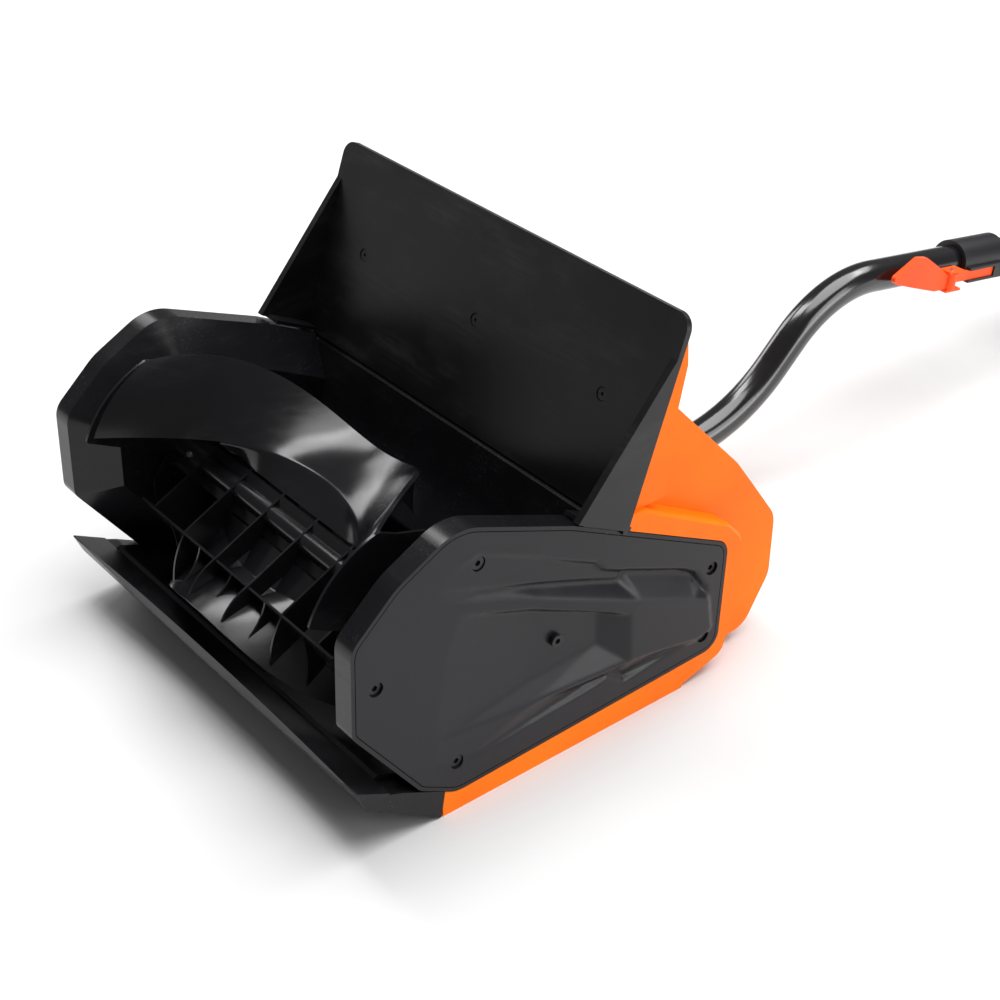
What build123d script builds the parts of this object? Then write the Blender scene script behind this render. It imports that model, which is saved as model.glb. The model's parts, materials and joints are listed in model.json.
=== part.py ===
from build123d import *
import math
import os

# Electric single stage snow thrower (power shovel type).
# Millimetres. +X is the machine's left-to-right axis (belt drive side), -Y is the front,
# +Z is up. The origin is on the flat underside, on the centre plane, where the base rests.

# ---------------------------------------------------------------- driving dimensions
HALF_WIDTH = 165.0          # outer faces of the side covers
RIM_X = 150.0               # where the straight rim ends and the bevel begins
INNER_WALL_X = 128.5        # faces of the auger chamber's side walls
WALL = 2.5                  # moulded wall thickness
SHEET = 3.0                 # thicker moulded walls

AXIS_Y = -84.0              # rotor axis
AXIS_Z = 113.0
ROTOR_R = 75.0              # paddle tip radius
CHAMBER_R = 84.0            # curved chamber wall radius
SHAFT_R = 6.0
HUB_R = 10.0
FIT = 0.05                  # running clearance on a radius

MOTOR_Y = 84.0              # motor axis
MOTOR_Z = 62.0
MOTOR_R = 36.0
MOTOR_SHAFT_R = 4.0
DRIVE_PULLEY_R = 10.0
DRIVEN_PULLEY_R = 34.0
BELT_T = 3.0
BELT_X0, BELT_X1 = 145.0, 155.0

TUBE_R = 12.5               # lower handle tube
TUBE_BORE_R = 10.9
UPPER_R = 10.82             # telescoping upper tube
UPPER_BORE_R = 9.4
TUBE_Z = 44.0               # height of the tube where it leaves the hood
TUBE_FALL = math.radians(9.3)   # slope of the upper handle, falling rearwards

PLATE_FOOT = (36.0, 139.0)  # a point low on the deflector's front face
PLATE_LEAN = 2.79           # its rise over run
PLATE_TOP_Z = 272.0

# Side outline of the machine, seen from +X: (y, z, corner radius)
SIDE = [
    (-154.5, 91.0, 10.0), (-152.5, 149.0, 16.0), (-122.0, 176.5, 40.0), (-80.0, 198.5, 34.0),
    (2.0, 165.0, 40.0), (131.0, 98.5, 14.0), (127.5, 20.0, 12.0), (-84.0, 14.0, 22.0),
    (-110.0, 29.0, 14.0),
]
# How far each edge of that outline is drawn in between the rim and the inner wall
BEVEL = [25.0, 25.0, 25.0, 25.0, 25.0, 4.0, 4.0, 12.0, 25.0]
COVER_SCREWS = [
    (-137.2, 116.8), (-65.6, 168.1), (-6.4, 86.2), (-82.8, 35.9), (118.0, 84.5), (114.2, 33.7),
]


# ---------------------------------------------------------------- helpers
def inset(corners, distances):
    """Move each edge of a closed outline inwards; edge i runs from corner i to corner i + 1."""
    count = len(corners)
    if not isinstance(distances, (list, tuple)):
        distances = [distances] * count
    area = sum(
        corners[i][0] * corners[(i + 1) % count][1] - corners[(i + 1) % count][0] * corners[i][1]
        for i in range(count)
    )
    side = 1.0 if area > 0 else -1.0
    lines = []
    for i in range(count):
        (ay, az, _), (by, bz, _) = corners[i], corners[(i + 1) % count]
        length = math.hypot(by - ay, bz - az)
        uy, uz = (by - ay) / length, (bz - az) / length
        shift = side * distances[i]
        lines.append((ay - uz * shift, az + uy * shift, uy, uz))
    moved = []
    for i in range(count):
        y1, z1, u1, v1 = lines[i - 1]
        y2, z2, u2, v2 = lines[i]
        cross = u1 * v2 - v1 * u2
        step = ((y2 - y1) * v2 - (z2 - z1) * u2) / cross
        drawn = (distances[i - 1] + distances[i]) / 2
        radius = corners[i][2]
        moved.append((y1 + u1 * step, z1 + v1 * step, max(radius - drawn, 0.8) if radius else 0))
    return moved


def outline(corners, x=0.0):
    """A flat face in the plane X = x from (y, z, radius) corners."""
    points = [(c[0], c[1]) for c in corners]
    radii = [c[2] if len(c) > 2 else 0 for c in corners]
    if any(radii):
        path = FilletPolyline(*points, radius=radii, close=True)
    else:
        path = Polyline(*points, close=True)
    return Plane.YZ.offset(x) * make_face(path)


def slab(corners, x0, x1):
    """An outline extruded across the machine from x0 to x1."""
    return extrude(outline(corners, x0), amount=x1 - x0)


def rod(y, z, radius, x0, x1):
    """A cylinder parallel to X."""
    return Plane.YZ.offset(x0) * Location((y, z, 0)) * extrude(Circle(radius), amount=x1 - x0)


def box(x0, x1, y0, y1, z0, z1):
    """A block between two corners."""
    return Pos((x0 + x1) / 2, (y0 + y1) / 2, (z0 + z1) / 2) * Box(x1 - x0, y1 - y0, z1 - z0)


def other_side(shape):
    """The same piece on the opposite side of the machine."""
    return mirror(shape, about=Plane.YZ)


def plate_y(z):
    """Y of the deflector's front face at height z."""
    return PLATE_FOOT[0] + (z - PLATE_FOOT[1]) / PLATE_LEAN


def save(name, shape):
    """Write one node; a list becomes a group of separate solids."""
    if isinstance(shape, list):
        shape = Compound(children=[s if isinstance(s, Solid) else s.solids()[0] for s in shape])
    export_step(shape, f"parts/{name}.step")


os.makedirs("parts", exist_ok=True)
lean = math.atan(PLATE_LEAN)
plate_back = (math.sin(lean), -math.cos(lean))


# ---------------------------------------------------------------- auger housing
def chamber_outline():
    """The snow channel's inner wall: a curved floor that turns up into the deflector."""
    start, end = -112.0, -45.0
    half_turn = math.radians((end - start) / 2)
    middle = math.radians((start + end) / 2)
    reach = CHAMBER_R / math.cos(half_turn)
    belly = (AXIS_Y + reach * math.cos(middle), AXIS_Z + reach * math.sin(middle))
    first = math.radians(start)
    front = (AXIS_Y + CHAMBER_R * math.cos(first), AXIS_Z + CHAMBER_R * math.sin(first))
    ahead = 14.0
    front = (front[0] + ahead * math.sin(first), front[1] - ahead * math.cos(first))
    last = math.radians(end)
    rise = (AXIS_Y + CHAMBER_R * math.cos(last), AXIS_Z + CHAMBER_R * math.sin(last))
    run = (plate_y(rise[1]) - rise[0]) / (1 - 1 / PLATE_LEAN)
    knee = (rise[0] + run, rise[1] + run)
    top_z = 143.0
    return [
        (front[0], front[1], 0), (belly[0], belly[1], CHAMBER_R), (knee[0], knee[1], 60.0),
        (plate_y(top_z), top_z, 0),
    ]


def side_shell():
    """The hollow right-hand side of the housing, open outwards for its cover."""
    rim = slab(SIDE, RIM_X, HALF_WIDTH)
    bevel = loft([outline(SIDE, RIM_X), outline(inset(SIDE, BEVEL), INNER_WALL_X)], ruled=True)
    return rim + bevel


def side_cavity():
    """The belt space inside that side."""
    mouth = inset(SIDE, WALL)
    floor_outline = inset(SIDE, [d + 1.0 for d in BEVEL])
    bevel = loft([outline(mouth, RIM_X), outline(floor_outline, INNER_WALL_X + WALL)], ruled=True)
    return slab(mouth, RIM_X, HALF_WIDTH + 1) + bevel


def screw_posts():
    """Posts that take the cover screws."""
    posts = []
    for y, z in COVER_SCREWS:
        posts.append(rod(y, z, 4.6, INNER_WALL_X + 0.5, 157.6) - rod(y, z, 2.0, 138.0, 158.0))
    return posts


inner = chamber_outline()
outer = inset(inner, [-SHEET, -SHEET, -SHEET, 0.0])
chamber = slab(outer, -RIM_X + 1, RIM_X - 1) - slab(inner, -RIM_X, RIM_X)
cavity = side_cavity()
shell = side_shell()
housing = shell + other_side(shell) + chamber - cavity - other_side(cavity)
BOSS_R, BEARING_R, BEARING_X0, BEARING_X1 = 20.0, 16.0, 131.0, 141.0
boss = rod(AXIS_Y, AXIS_Z, BOSS_R, INNER_WALL_X + 0.5, BEARING_X1)
posts = screw_posts()
for piece in [boss] + [post & shell for post in posts]:
    housing += piece + other_side(piece)
seat = rod(AXIS_Y, AXIS_Z, BEARING_R + FIT, BEARING_X0, BEARING_X1 + 1)
passage = rod(AXIS_Y, AXIS_Z, 8.5, INNER_WALL_X - 1, BEARING_X0 + 0.1)
housing -= seat + other_side(seat) + passage + other_side(passage)
MOTOR_SCREWS = [(MOTOR_Y, MOTOR_Z + 24.0), (MOTOR_Y, MOTOR_Z - 24.0)]
housing -= rod(MOTOR_Y, MOTOR_Z, 13.0, INNER_WALL_X - 1, BEARING_X0 + 1)
for y, z in MOTOR_SCREWS:
    housing -= rod(y, z, 2.6, INNER_WALL_X - 1, BEARING_X0 + 1)

# scraper blade under the chamber's lip, with a slightly hollow front edge
SCRAPER = [(-154.0, 51.0, 0.6), (-147.2, 35.1, 1.0), (-95.5, 0.0, 1.0), (-92.2, 18.6, 0.6)]
EDGE_SAG = 5.0
sag_radius = (HALF_WIDTH**2 + EDGE_SAG**2) / (2 * EDGE_SAG)
sag = Pos(0, -154.0 + EDGE_SAG - sag_radius, 0) * Cylinder(sag_radius, 200)
scraper = slab(SCRAPER, -HALF_WIDTH, HALF_WIDTH) - sag
hollow = [(-136.0, 33.0, 1), (-100.0, 8.5, 1), (-98.0, 19.0, 1), (-130.0, 35.8, 1)]
for k in range(-2, 3):
    scraper -= slab(hollow, k * 62.0 - 28.0, k * 62.0 + 28.0)
side_solid = slab(inset(SIDE, -0.3), -HALF_WIDTH - 1, HALF_WIDTH + 1)
under_lip = slab(inset(inner, [-SHEET - 0.2, -SHEET - 0.2, -SHEET, 0.0]), -200, 200)
keep_front = box(-200, 200, -200, -90, -10, 60)
scraper -= (side_solid + under_lip) & keep_front
save("scraper_blade", scraper)

save("auger_housing", housing)


# ---------------------------------------------------------------- deflector
def plate_point(z, behind):
    """A point at height z on the plate's front face, moved behind it."""
    return (plate_y(z) + behind * plate_back[0], z + behind * plate_back[1])


PLATE_T = 4.0
DEFLECTOR_HALF = 167.5
GUSSET_T = 5.0
DEFLECTOR_SCREW_Z = 209.7
DEFLECTOR_SCREW_X = [-120.0, 0.0, 120.0]
low, high = 145.0, PLATE_TOP_Z
plate = slab(
    [plate_point(low, 0), plate_point(high, 0), plate_point(high, PLATE_T), plate_point(low, PLATE_T)],
    -DEFLECTOR_HALF, DEFLECTOR_HALF,
)
corner_edges = plate.edges().filter_by(lambda e: e.center().Z > 260 and abs(e.center().X) > 160)
corner_edges = corner_edges.filter_by(lambda e: e.length < PLATE_T + 0.1)
plate = fillet(corner_edges, 10.0)
gusset = slab(
    [
        plate_point(264.0, 1.0) + (0,), (79.0, 252.0, 3), (4.0, 165.8, 0),
        (42.5, 145.2, 0), plate_point(146.0, 1.0) + (0,),
    ],
    DEFLECTOR_HALF - GUSSET_T, DEFLECTOR_HALF,
)
FOOT = [(8.0, 163.2, 0), (44.0, 144.9, 0), (45.0, 147.2, 0), (9.0, 165.5, 0)]
foot = slab(FOOT, RIM_X, DEFLECTOR_HALF)
screw_axis = Plane(origin=(0, *plate_point(DEFLECTOR_SCREW_Z, 0)), x_dir=(1, 0, 0),
                   z_dir=(0, plate_back[0], plate_back[1]))
deflector = plate + gusset + other_side(gusset) + foot + other_side(foot)
deflector -= slab(inset(SIDE, -0.3), -HALF_WIDTH - 0.2, HALF_WIDTH + 0.2) & box(-200, 200, -60, 80, 100, 180)
deflector -= slab(inset(inner, [-SHEET - 0.2, -SHEET - 0.2, -SHEET - 0.2, -0.2]), -RIM_X, RIM_X)


def on_plate(x, radius, start, end):
    """A cylinder square to the deflector at x, from start to end behind its front face."""
    place = screw_axis * Pos(x, 0, start)
    return place * extrude(Circle(radius), amount=end - start)


deflector_screws = []
for x in DEFLECTOR_SCREW_X:
    deflector -= on_plate(x, 4.4, -1.0, 2.0)
    deflector -= on_plate(x, 2.3, 1.0, 6.0)
    screw = on_plate(x, 4.0, 0.6, 2.0) + on_plate(x, 2.0, 1.9, 13.0) - on_plate(x, 1.2, 0.0, 1.5)
    deflector_screws.append(screw)
save("deflector", deflector)
save("deflector_screws", deflector_screws)

# ---------------------------------------------------------------- orange rear housing
FLANGE = [
    (-94.0, 0.0, 1.5), (98.0, 0.0, 12.0), (134.5, 11.0, 12.0), (145.5, 50.0, 20.0),
    (145.0, 97.0, 16.0), (132.0, 111.5, 12.0), (60.0, 151.5, 8.0), (43.0, 151.5, 2.0),
    (38.0, 100.0, 0), (0.0, 60.0, 0), (-94.0, 18.0, 1.0),
]
HOOD_X = 150.0
HOOD = [
    (30.0, 2.0, 0), (98.0, 2.0, 6.0), (168.0, 9.0, 16.0), (188.0, 42.0, 18.0), (188.5, 88.0, 22.0),
    (150.0, 142.0, 60.0), (91.5, 205.0, 6.0), (68.0, 205.0, 0), (44.0, 150.0, 0), (0.0, 90.0, 0),
]
BACKING_T = 3.0
gap = 0.25
backing = slab(
    [
        plate_point(152.0, PLATE_T + gap), plate_point(262.0, PLATE_T + gap),
        plate_point(262.0, PLATE_T + gap + BACKING_T), plate_point(152.0, PLATE_T + gap + BACKING_T),
    ],
    -160.0, 160.0,
)
backing_rib = slab(
    [
        plate_point(152.0, PLATE_T + gap), plate_point(266.0, PLATE_T + gap),
        plate_point(266.0, PLATE_T + gap + 4.0), (91.0, 236.0), (84.0, 204.0), (78.0, 152.0),
    ],
    156.5, 160.0,
)
hood = slab(HOOD, -HOOD_X, HOOD_X) - slab(inset(HOOD, SHEET), -HOOD_X + SHEET, HOOD_X - SHEET)
FLANGE_EDGE = 2.0
flange = slab(FLANGE, HOOD_X - 3.5, HALF_WIDTH - 0.2 - FLANGE_EDGE)
flange += loft(
    [outline(FLANGE, HALF_WIDTH - 0.2 - FLANGE_EDGE), outline(inset(FLANGE, FLANGE_EDGE), HALF_WIDTH - 0.2)],
    ruled=True,
)
tray = box(-HOOD_X, HOOD_X, -94.0, 98.0, 0.0, SHEET)
skirt = box(146.5, HALF_WIDTH - 0.2, -94.0, 98.0, 0.0, 18.0)
rear = hood + flange + other_side(flange) + backing + backing_rib + other_side(backing_rib)
rear += tray + skirt + other_side(skirt)
clear_side = slab(inset(SIDE, -0.5), INNER_WALL_X - 0.6, HALF_WIDTH + 1)
grown = inset(inner, [-SHEET - 0.6, -SHEET - 0.6, -SHEET - 0.6, -20.0])
channel = slab(grown, -RIM_X, RIM_X)
rear -= clear_side + other_side(clear_side) + channel
rear -= slab(
    [plate_point(120.0, PLATE_T + gap), plate_point(300.0, PLATE_T + gap), (-60.0, 300.0), (-60.0, 120.0)],
    -200, 200,
)
under_foot = slab(inset(FOOT, -0.3), RIM_X - 0.3, DEFLECTOR_HALF)
rear -= under_foot + other_side(under_foot) + slab(inset(SCRAPER, -0.3), -200, 200)
# collar where the handle tube leaves the hood, and cooling slots high on the back
COLLAR_R, COLLAR_END = 19.0, 216.0


def along_y(radius, y0, y1, x=0.0, z=TUBE_Z):
    """A cylinder parallel to Y."""
    across = Plane(origin=(x, y0, z), x_dir=(1, 0, 0), z_dir=(0, 1, 0))
    return across * extrude(Circle(radius), amount=y1 - y0)


rear += along_y(COLLAR_R, 170.0, COLLAR_END)
for x in (-16.0, 16.0):
    rear += box(x - 2.0, x + 2.0, 184.0, 206.0, TUBE_Z + 6.0, TUBE_Z + 34.0)
rear -= slab(inset(HOOD, SHEET), -30, 30) & box(-30, 30, 140.0, 200.0, 3.0, 100.0)
rear -= along_y(TUBE_R + 0.3, 170.0, COLLAR_END + 1)
SLOT_PITCH, SLOT_COUNT = 13.0, 7
for k in range(SLOT_COUNT):
    x = (k - (SLOT_COUNT - 1) / 2) * SLOT_PITCH
    rear -= Pos(x - 70.0, 138.0, 150.0) * Rot(-44, 0, 0) * Box(5.0, 40.0, 40.0)
    rear -= Pos(x + 70.0, 138.0, 150.0) * Rot(-44, 0, 0) * Box(5.0, 40.0, 40.0)
for x in DEFLECTOR_SCREW_X:
    rear += on_plate(x, 5.5, PLATE_T + gap, 15.0)
    rear -= on_plate(x, 2.05, PLATE_T, 14.0)
save("rear_housing", rear)

# ---------------------------------------------------------------- side covers and their screws
COVER_T = 3.2
COVER_X = HALF_WIDTH - COVER_T
COVER_EDGE = inset(SIDE, WALL + 0.5)
# Two shallow wedges that deepen towards the rear, and a pocket under the rear block
UPPER_WEDGE = [(-92.0, 161.0, 0), (40.0, 107.5, 0), (56.0, 90.0, 0), (48.0, 82.0, 0), (-70.0, 141.0, 0)]
LOWER_WEDGE = [
    (-102.0, 65.5, 0), (26.0, 61.0, 0), (50.0, 50.0, 0), (35.0, 38.0, 0), (-74.0, 36.5, 0), (-92.0, 40.0, 0),
]
POCKET = [
    (50.0, 50.0, 2.0), (48.0, 82.0, 2.0), (57.0, 89.0, 0),
    (100.0, 70.0, 0), (108.0, 72.0, 3.0), (104.0, 40.0, 3.0),
]
WEDGE_DEPTH = 2.0


def side_cover():
    """The right-hand cover: a plate with an inner lip, screw cups and moulded relief."""
    plate = slab(COVER_EDGE, COVER_X, HALF_WIDTH)
    edge = plate.faces().sort_by(Axis.X)[-1].outer_wire().edges()
    cover = chamfer(edge, 0.6)
    lip = slab(inset(COVER_EDGE, 0.6), COVER_X - 6.0, COVER_X + 0.1)
    cover += lip - slab(inset(COVER_EDGE, 2.6), COVER_X - 7.0, COVER_X + 0.05)
    for y, z in COVER_SCREWS:
        cover += rod(y, z, 6.6, COVER_X - 3.9, COVER_X + 0.1)
    for y, z in COVER_SCREWS:
        cover -= rod(y, z, 4.7, HALF_WIDTH - 4.2, HALF_WIDTH + 1)
        cover -= rod(y, z, 2.3, COVER_X - 6.0, HALF_WIDTH)
    for corners, front in ((UPPER_WEDGE, -92.0), (LOWER_WEDGE, -102.0)):
        cutter = slab(corners, HALF_WIDTH, HALF_WIDTH + 8)
        turn = math.degrees(math.atan2(WEDGE_DEPTH, 145.0))
        cover -= Pos(HALF_WIDTH, front, 0) * Rot(0, 0, turn) * Pos(-HALF_WIDTH, -front, 0) * cutter
    cover -= slab(POCKET, HALF_WIDTH - 1.2, HALF_WIDTH + 1)
    for y, z in COVER_SCREWS[4:]:
        cover += rod(y, z, 6.6, COVER_X, HALF_WIDTH) - rod(y, z, 4.7, COVER_X - 1, HALF_WIDTH + 1)
    return cover


def cover_screw(y, z):
    """A pan head screw in its cup, with a hexagon socket."""
    head = rod(y, z, 4.2, HALF_WIDTH - 4.1, HALF_WIDTH - 1.6)
    shank = rod(y, z, 1.9, 143.0, HALF_WIDTH - 4.0)
    key = Plane.YZ.offset(HALF_WIDTH - 3.2) * Location((y, z, 0)) * extrude(RegularPolygon(2.0, 6), amount=3)
    return head + shank - key


right_cover = side_cover()
save("side_cover_right", right_cover)
save("side_cover_left", other_side(right_cover))
right_screws = [cover_screw(y, z) for y, z in COVER_SCREWS]
save("cover_screws_right", right_screws)
save("cover_screws_left", [other_side(s) for s in right_screws])

# ---------------------------------------------------------------- rotor
PADDLE_HALF = 124.0         # where the wings end and the end plates begin
END_PLATE_T = 2.0
SKIN_T = 2.5
RIB_T = 2.0
CREASE = (27.0, 26.0)       # crease at the paddle's middle, from the axis
CREASE_BOW = 0.0048         # how fast the crease runs forward towards the wings, per square millimetre
MATE = (9.0, 13.0)          # end of the plane where the two halves meet
MATE_FOOT = (-8.0, -11.556)  # the other end of that plane
MATE_TOP = (7.9, 11.411)    # where the plane ends behind a wing
MATE_T = 2.2
KNEE = (42.5, 12.6)         # where the open back of a half turns towards the tip
WING_TIP = (-66.0, 29.0)    # front corner of a wing at its end
WALL_FOOT = (42.8, 13.6)    # lower edge of the longitudinal rib behind the skin
CENTRE_HALF = 75.0
TIP_ANGLE, TIP_SWEEP = 25.3, 0.0053     # degrees, and degrees per square millimetre
STATIONS = [0.0, 15.0, 30.0, 45.0, 60.0, 75.0, 92.0, 108.0, PADDLE_HALF]
CROSS_RIBS = [18.5, 55.5, 92.5]
TIP_RIBS = [37.0, 74.0]


def at_axis(point):
    """From rotor coordinates to the machine's."""
    return (AXIS_Y + point[0], AXIS_Z + point[1])


def tip(x, radius=ROTOR_R):
    """The paddle's swept tip at x: it leads at both ends."""
    angle = math.radians(TIP_ANGLE + TIP_SWEEP * x * x)
    return (radius * math.cos(angle), radius * math.sin(angle))


def heel(x):
    """The crease at x: bowed at the centre, then running straight forward along each wing."""
    bowed = CREASE[0] - CREASE_BOW * min(abs(x), CENTRE_HALF)**2
    share = max(0.0, abs(x) - CENTRE_HALF) / (PADDLE_HALF - CENTRE_HALF)
    return (bowed + (WING_TIP[0] - bowed) * share, CREASE[1] + (WING_TIP[1] - CREASE[1]) * share)


def on_skin(x, share, behind=0.0):
    """A point of the working face, from the crease (0) to the tip (1), moved behind it."""
    (ly, lz), (hy, hz) = heel(x), tip(x)
    length = math.hypot(hy - ly, hz - lz)
    return (
        ly + (hy - ly) * share + (hz - lz) / length * behind,
        lz + (hz - lz) * share - (hy - ly) / length * behind,
    )


def wall_top(x):
    """Where the longitudinal rib behind the skin meets it at x."""
    (ly, lz), (hy, hz) = heel(x), tip(x)
    run_y, run_z = -0.45, 0.893
    cross = (hy - ly) * run_z - (hz - lz) * run_y
    share = ((WALL_FOOT[0] - ly) * run_z - (WALL_FOOT[1] - lz) * run_y) / cross
    return on_skin(x, min(share, 0.85), SKIN_T * 0.6)


def ribbon(path, stations, thickness):
    """A thin wall of flat facets behind a path in rotor coordinates that is a function of x."""
    sections = []
    for x in stations:
        front = path(x)
        normals = []
        for (y0, z0), (y1, z1) in zip(front, front[1:]):
            length = math.hypot(y1 - y0, z1 - z0)
            normals.append(((z1 - z0) / length, (y0 - y1) / length))
        normals = [normals[0]] + normals + [normals[-1]]
        behind = []
        for (y, z), (ny, nz), (my, mz) in zip(front, normals, normals[1:]):
            depth = thickness / (1 + ny * my + nz * mz)
            behind.append((y + (ny + my) * depth, z + (nz + mz) * depth))
        sections.append([Vector(x, *at_axis(q)) for q in front + behind[::-1]])
    facets = [Face(Wire.make_polygon(sections[0])), Face(Wire.make_polygon(sections[-1][::-1]))]
    for near, far in zip(sections, sections[1:]):
        for k in range(len(near)):
            m = (k + 1) % len(near)
            facets.append(Face(Wire.make_polygon([near[k], far[m], near[m]])))
            facets.append(Face(Wire.make_polygon([near[k], far[k], far[m]])))
    return Solid(Shell(facets))


def paddle_rib(x, corners, thickness=RIB_T):
    """A flat rib centred on x."""
    return slab([at_axis(c) for c in corners], x - thickness / 2, x + thickness / 2)


def tip_rib(x):
    """One of the shallow ribs that stiffen the skin between the longitudinal rib and the tip."""
    foot, top = (WALL_FOOT[0] + 0.6, WALL_FOOT[1] + 1.0), wall_top(x)
    return paddle_rib(x, [foot, (58.0, 19.0), on_skin(x, 0.95, 1.2), (top[0] + 0.2, top[1])], 1.6)


def paddle_side():
    """The right half of one moulded half of the rotor: skin, wing, ribs, end plate and hub."""
    centre = [x for x in STATIONS if x <= CENTRE_HALF]
    side = Part() + ribbon(lambda x: [heel(x), tip(x)], STATIONS, SKIN_T)
    side += ribbon(lambda x: [MATE_FOOT, MATE, on_skin(x, 0.05, 1.2)], centre, MATE_T)
    side += ribbon(lambda x: [WALL_FOOT, wall_top(x)], STATIONS[:-1], RIB_T)
    hub_mask = slab([at_axis(c) for c in [(-36.0, -52.0), (36.0, 52.0), (80.0, 0.0), (0.0, -60.0)]], 0, 126)
    side += rod(AXIS_Y, AXIS_Z, HUB_R, 0, PADDLE_HALF) & hub_mask
    side += ribbon(lambda x: [MATE_FOOT, MATE_TOP], [0.0, PADDLE_HALF], MATE_T)
    for x in CROSS_RIBS:
        outer = on_skin(x, 0.95, 1.2)
        if x > CENTRE_HALF:
            side += paddle_rib(x, [(-MATE[0], -MATE[1]), KNEE, outer, on_skin(x, 0.03, 1.2), (8.6, 10.5)])
        else:
            side += paddle_rib(
                x, [(-6.5, -11.0), KNEE, (58.0, 19.0), outer, on_skin(x, 0.25, 1.2), (10.2, 13.2)]
            )
    for x in TIP_RIBS:
        side += tip_rib(x)
    side &= slab(
        [at_axis(c) for c in [(-MATE[0] * 4, -MATE[1] * 4), (0.05, -0.05), MATE, (-20.0, 20.0), (-90.0, 20.0),
                              (-90.0, 90.0), (90.0, 90.0), (90.0, -60.0)]],
        0, PADDLE_HALF,
    )
    plate_corners = [
        (-68.0, 28.5, 1.0), (-14.0, 0.6, 0), (14.0, 0.6, 0), (26.0, 18.0, 8.0), (24.0, 50.0, 12.0),
        (12.0, 60.0, 8.0), (-8.0, 66.0, 6.0), (-46.0, 84.0, 0), (-100.0, 60.0, 0),
    ]
    end_plate = slab([(*at_axis(c[:2]), c[2]) for c in plate_corners], PADDLE_HALF, PADDLE_HALF + END_PLATE_T)
    return side + (end_plate & rod(AXIS_Y, AXIS_Z, ROTOR_R, 0, 200))


def paddle_half():
    """One moulded half of the rotor, bored for the shaft."""
    side = paddle_side()
    half = side + other_side(side) + tip_rib(0.0)
    return half - rod(AXIS_Y, AXIS_Z, SHAFT_R + 0.02, -200, 200)


def half_turn(shape):
    """The same piece turned half a turn about the rotor axis."""
    return Pos(0, AXIS_Y, AXIS_Z) * Rot(180, 0, 0) * Pos(0, -AXIS_Y, -AXIS_Z) * shape


PIN_X = [-108.0, 108.0]
PIN_R = 1.6
mate_length = math.hypot(*MATE)
mate_up = (MATE[0] / mate_length, MATE[1] / mate_length)
mate_out = (mate_up[1], -mate_up[0])


def across_mate(x, along, radius, start, end):
    """A cylinder square to the mating plane, from start to end on the first half's side."""
    y, z = at_axis((mate_up[0] * along, mate_up[1] * along))
    place = Plane(origin=(x, y, z), x_dir=(1, 0, 0), z_dir=(0, mate_out[0], mate_out[1]))
    return place * Pos(0, 0, start) * extrude(Circle(radius), amount=end - start)


paddle_a = paddle_half()
pins = []
for x in PIN_X:
    pins.append(across_mate(x, 0.0, PIN_R, -HUB_R + 1, HUB_R - 1))
    paddle_a -= across_mate(x, 0.0, PIN_R + 0.02, -HUB_R - 1, HUB_R + 1)
save("paddle_a", paddle_a)
save("paddle_b", half_turn(paddle_a))
save("hub_pins", pins)

SHAFT_X0, SHAFT_X1 = -144.0, 160.0
shaft = rod(AXIS_Y, AXIS_Z, SHAFT_R, SHAFT_X0, SHAFT_X1)
for x in PIN_X:
    shaft -= across_mate(x, 0.0, PIN_R + 0.02, -10, 10)
save("rotor_shaft", shaft)


def bearing():
    """A sealed ball bearing cartridge on the right-hand side."""
    ring = rod(AXIS_Y, AXIS_Z, BEARING_R, BEARING_X0, BEARING_X1)
    ring -= rod(AXIS_Y, AXIS_Z, SHAFT_R + FIT, 120, 160)
    groove = rod(AXIS_Y, AXIS_Z, 13.0, BEARING_X1 - 1.0, BEARING_X1 + 1) - rod(AXIS_Y, AXIS_Z, 9.0, 120, 160)
    return ring - groove


save("rotor_bearing_right", bearing())
save("rotor_bearing_left", other_side(bearing()))


def pulley(y, z, radius, bore, teeth):
    """A toothed belt pulley with side flanges."""
    wheel = rod(y, z, radius, BELT_X0 - 2, BELT_X1 + 2)
    wheel += rod(y, z, radius + 2.5, BELT_X0 - 2, BELT_X0 - 0.6)
    wheel += rod(y, z, radius + 2.5, BELT_X1 + 0.6, BELT_X1 + 2)
    for k in range(teeth):
        angle = 2 * math.pi * k / teeth
        across, above = radius * math.cos(angle), radius * math.sin(angle)
        wheel -= rod(y + across, z + above, 0.7, BELT_X0 - 0.5, BELT_X1 + 0.5)
    return wheel - rod(y, z, bore, BELT_X0 - 5, BELT_X1 + 5)


driven = pulley(AXIS_Y, AXIS_Z, DRIVEN_PULLEY_R, SHAFT_R + 0.02, 36)
for k in range(5):
    angle = 2 * math.pi * k / 5
    driven -= rod(AXIS_Y + 20 * math.cos(angle), AXIS_Z + 20 * math.sin(angle), 6.0, 130, 170)
save("driven_pulley", driven)
hexagon = extrude(RegularPolygon(9.0, 6), amount=3.0)
nut = Plane.YZ.offset(BELT_X1 + 2.1) * Location((AXIS_Y, AXIS_Z, 0)) * hexagon
save("pulley_nut", nut - rod(AXIS_Y, AXIS_Z, SHAFT_R + 0.02, 130, 170))

# ---------------------------------------------------------------- belt drive and motor
belt_gap = 0.35


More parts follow.
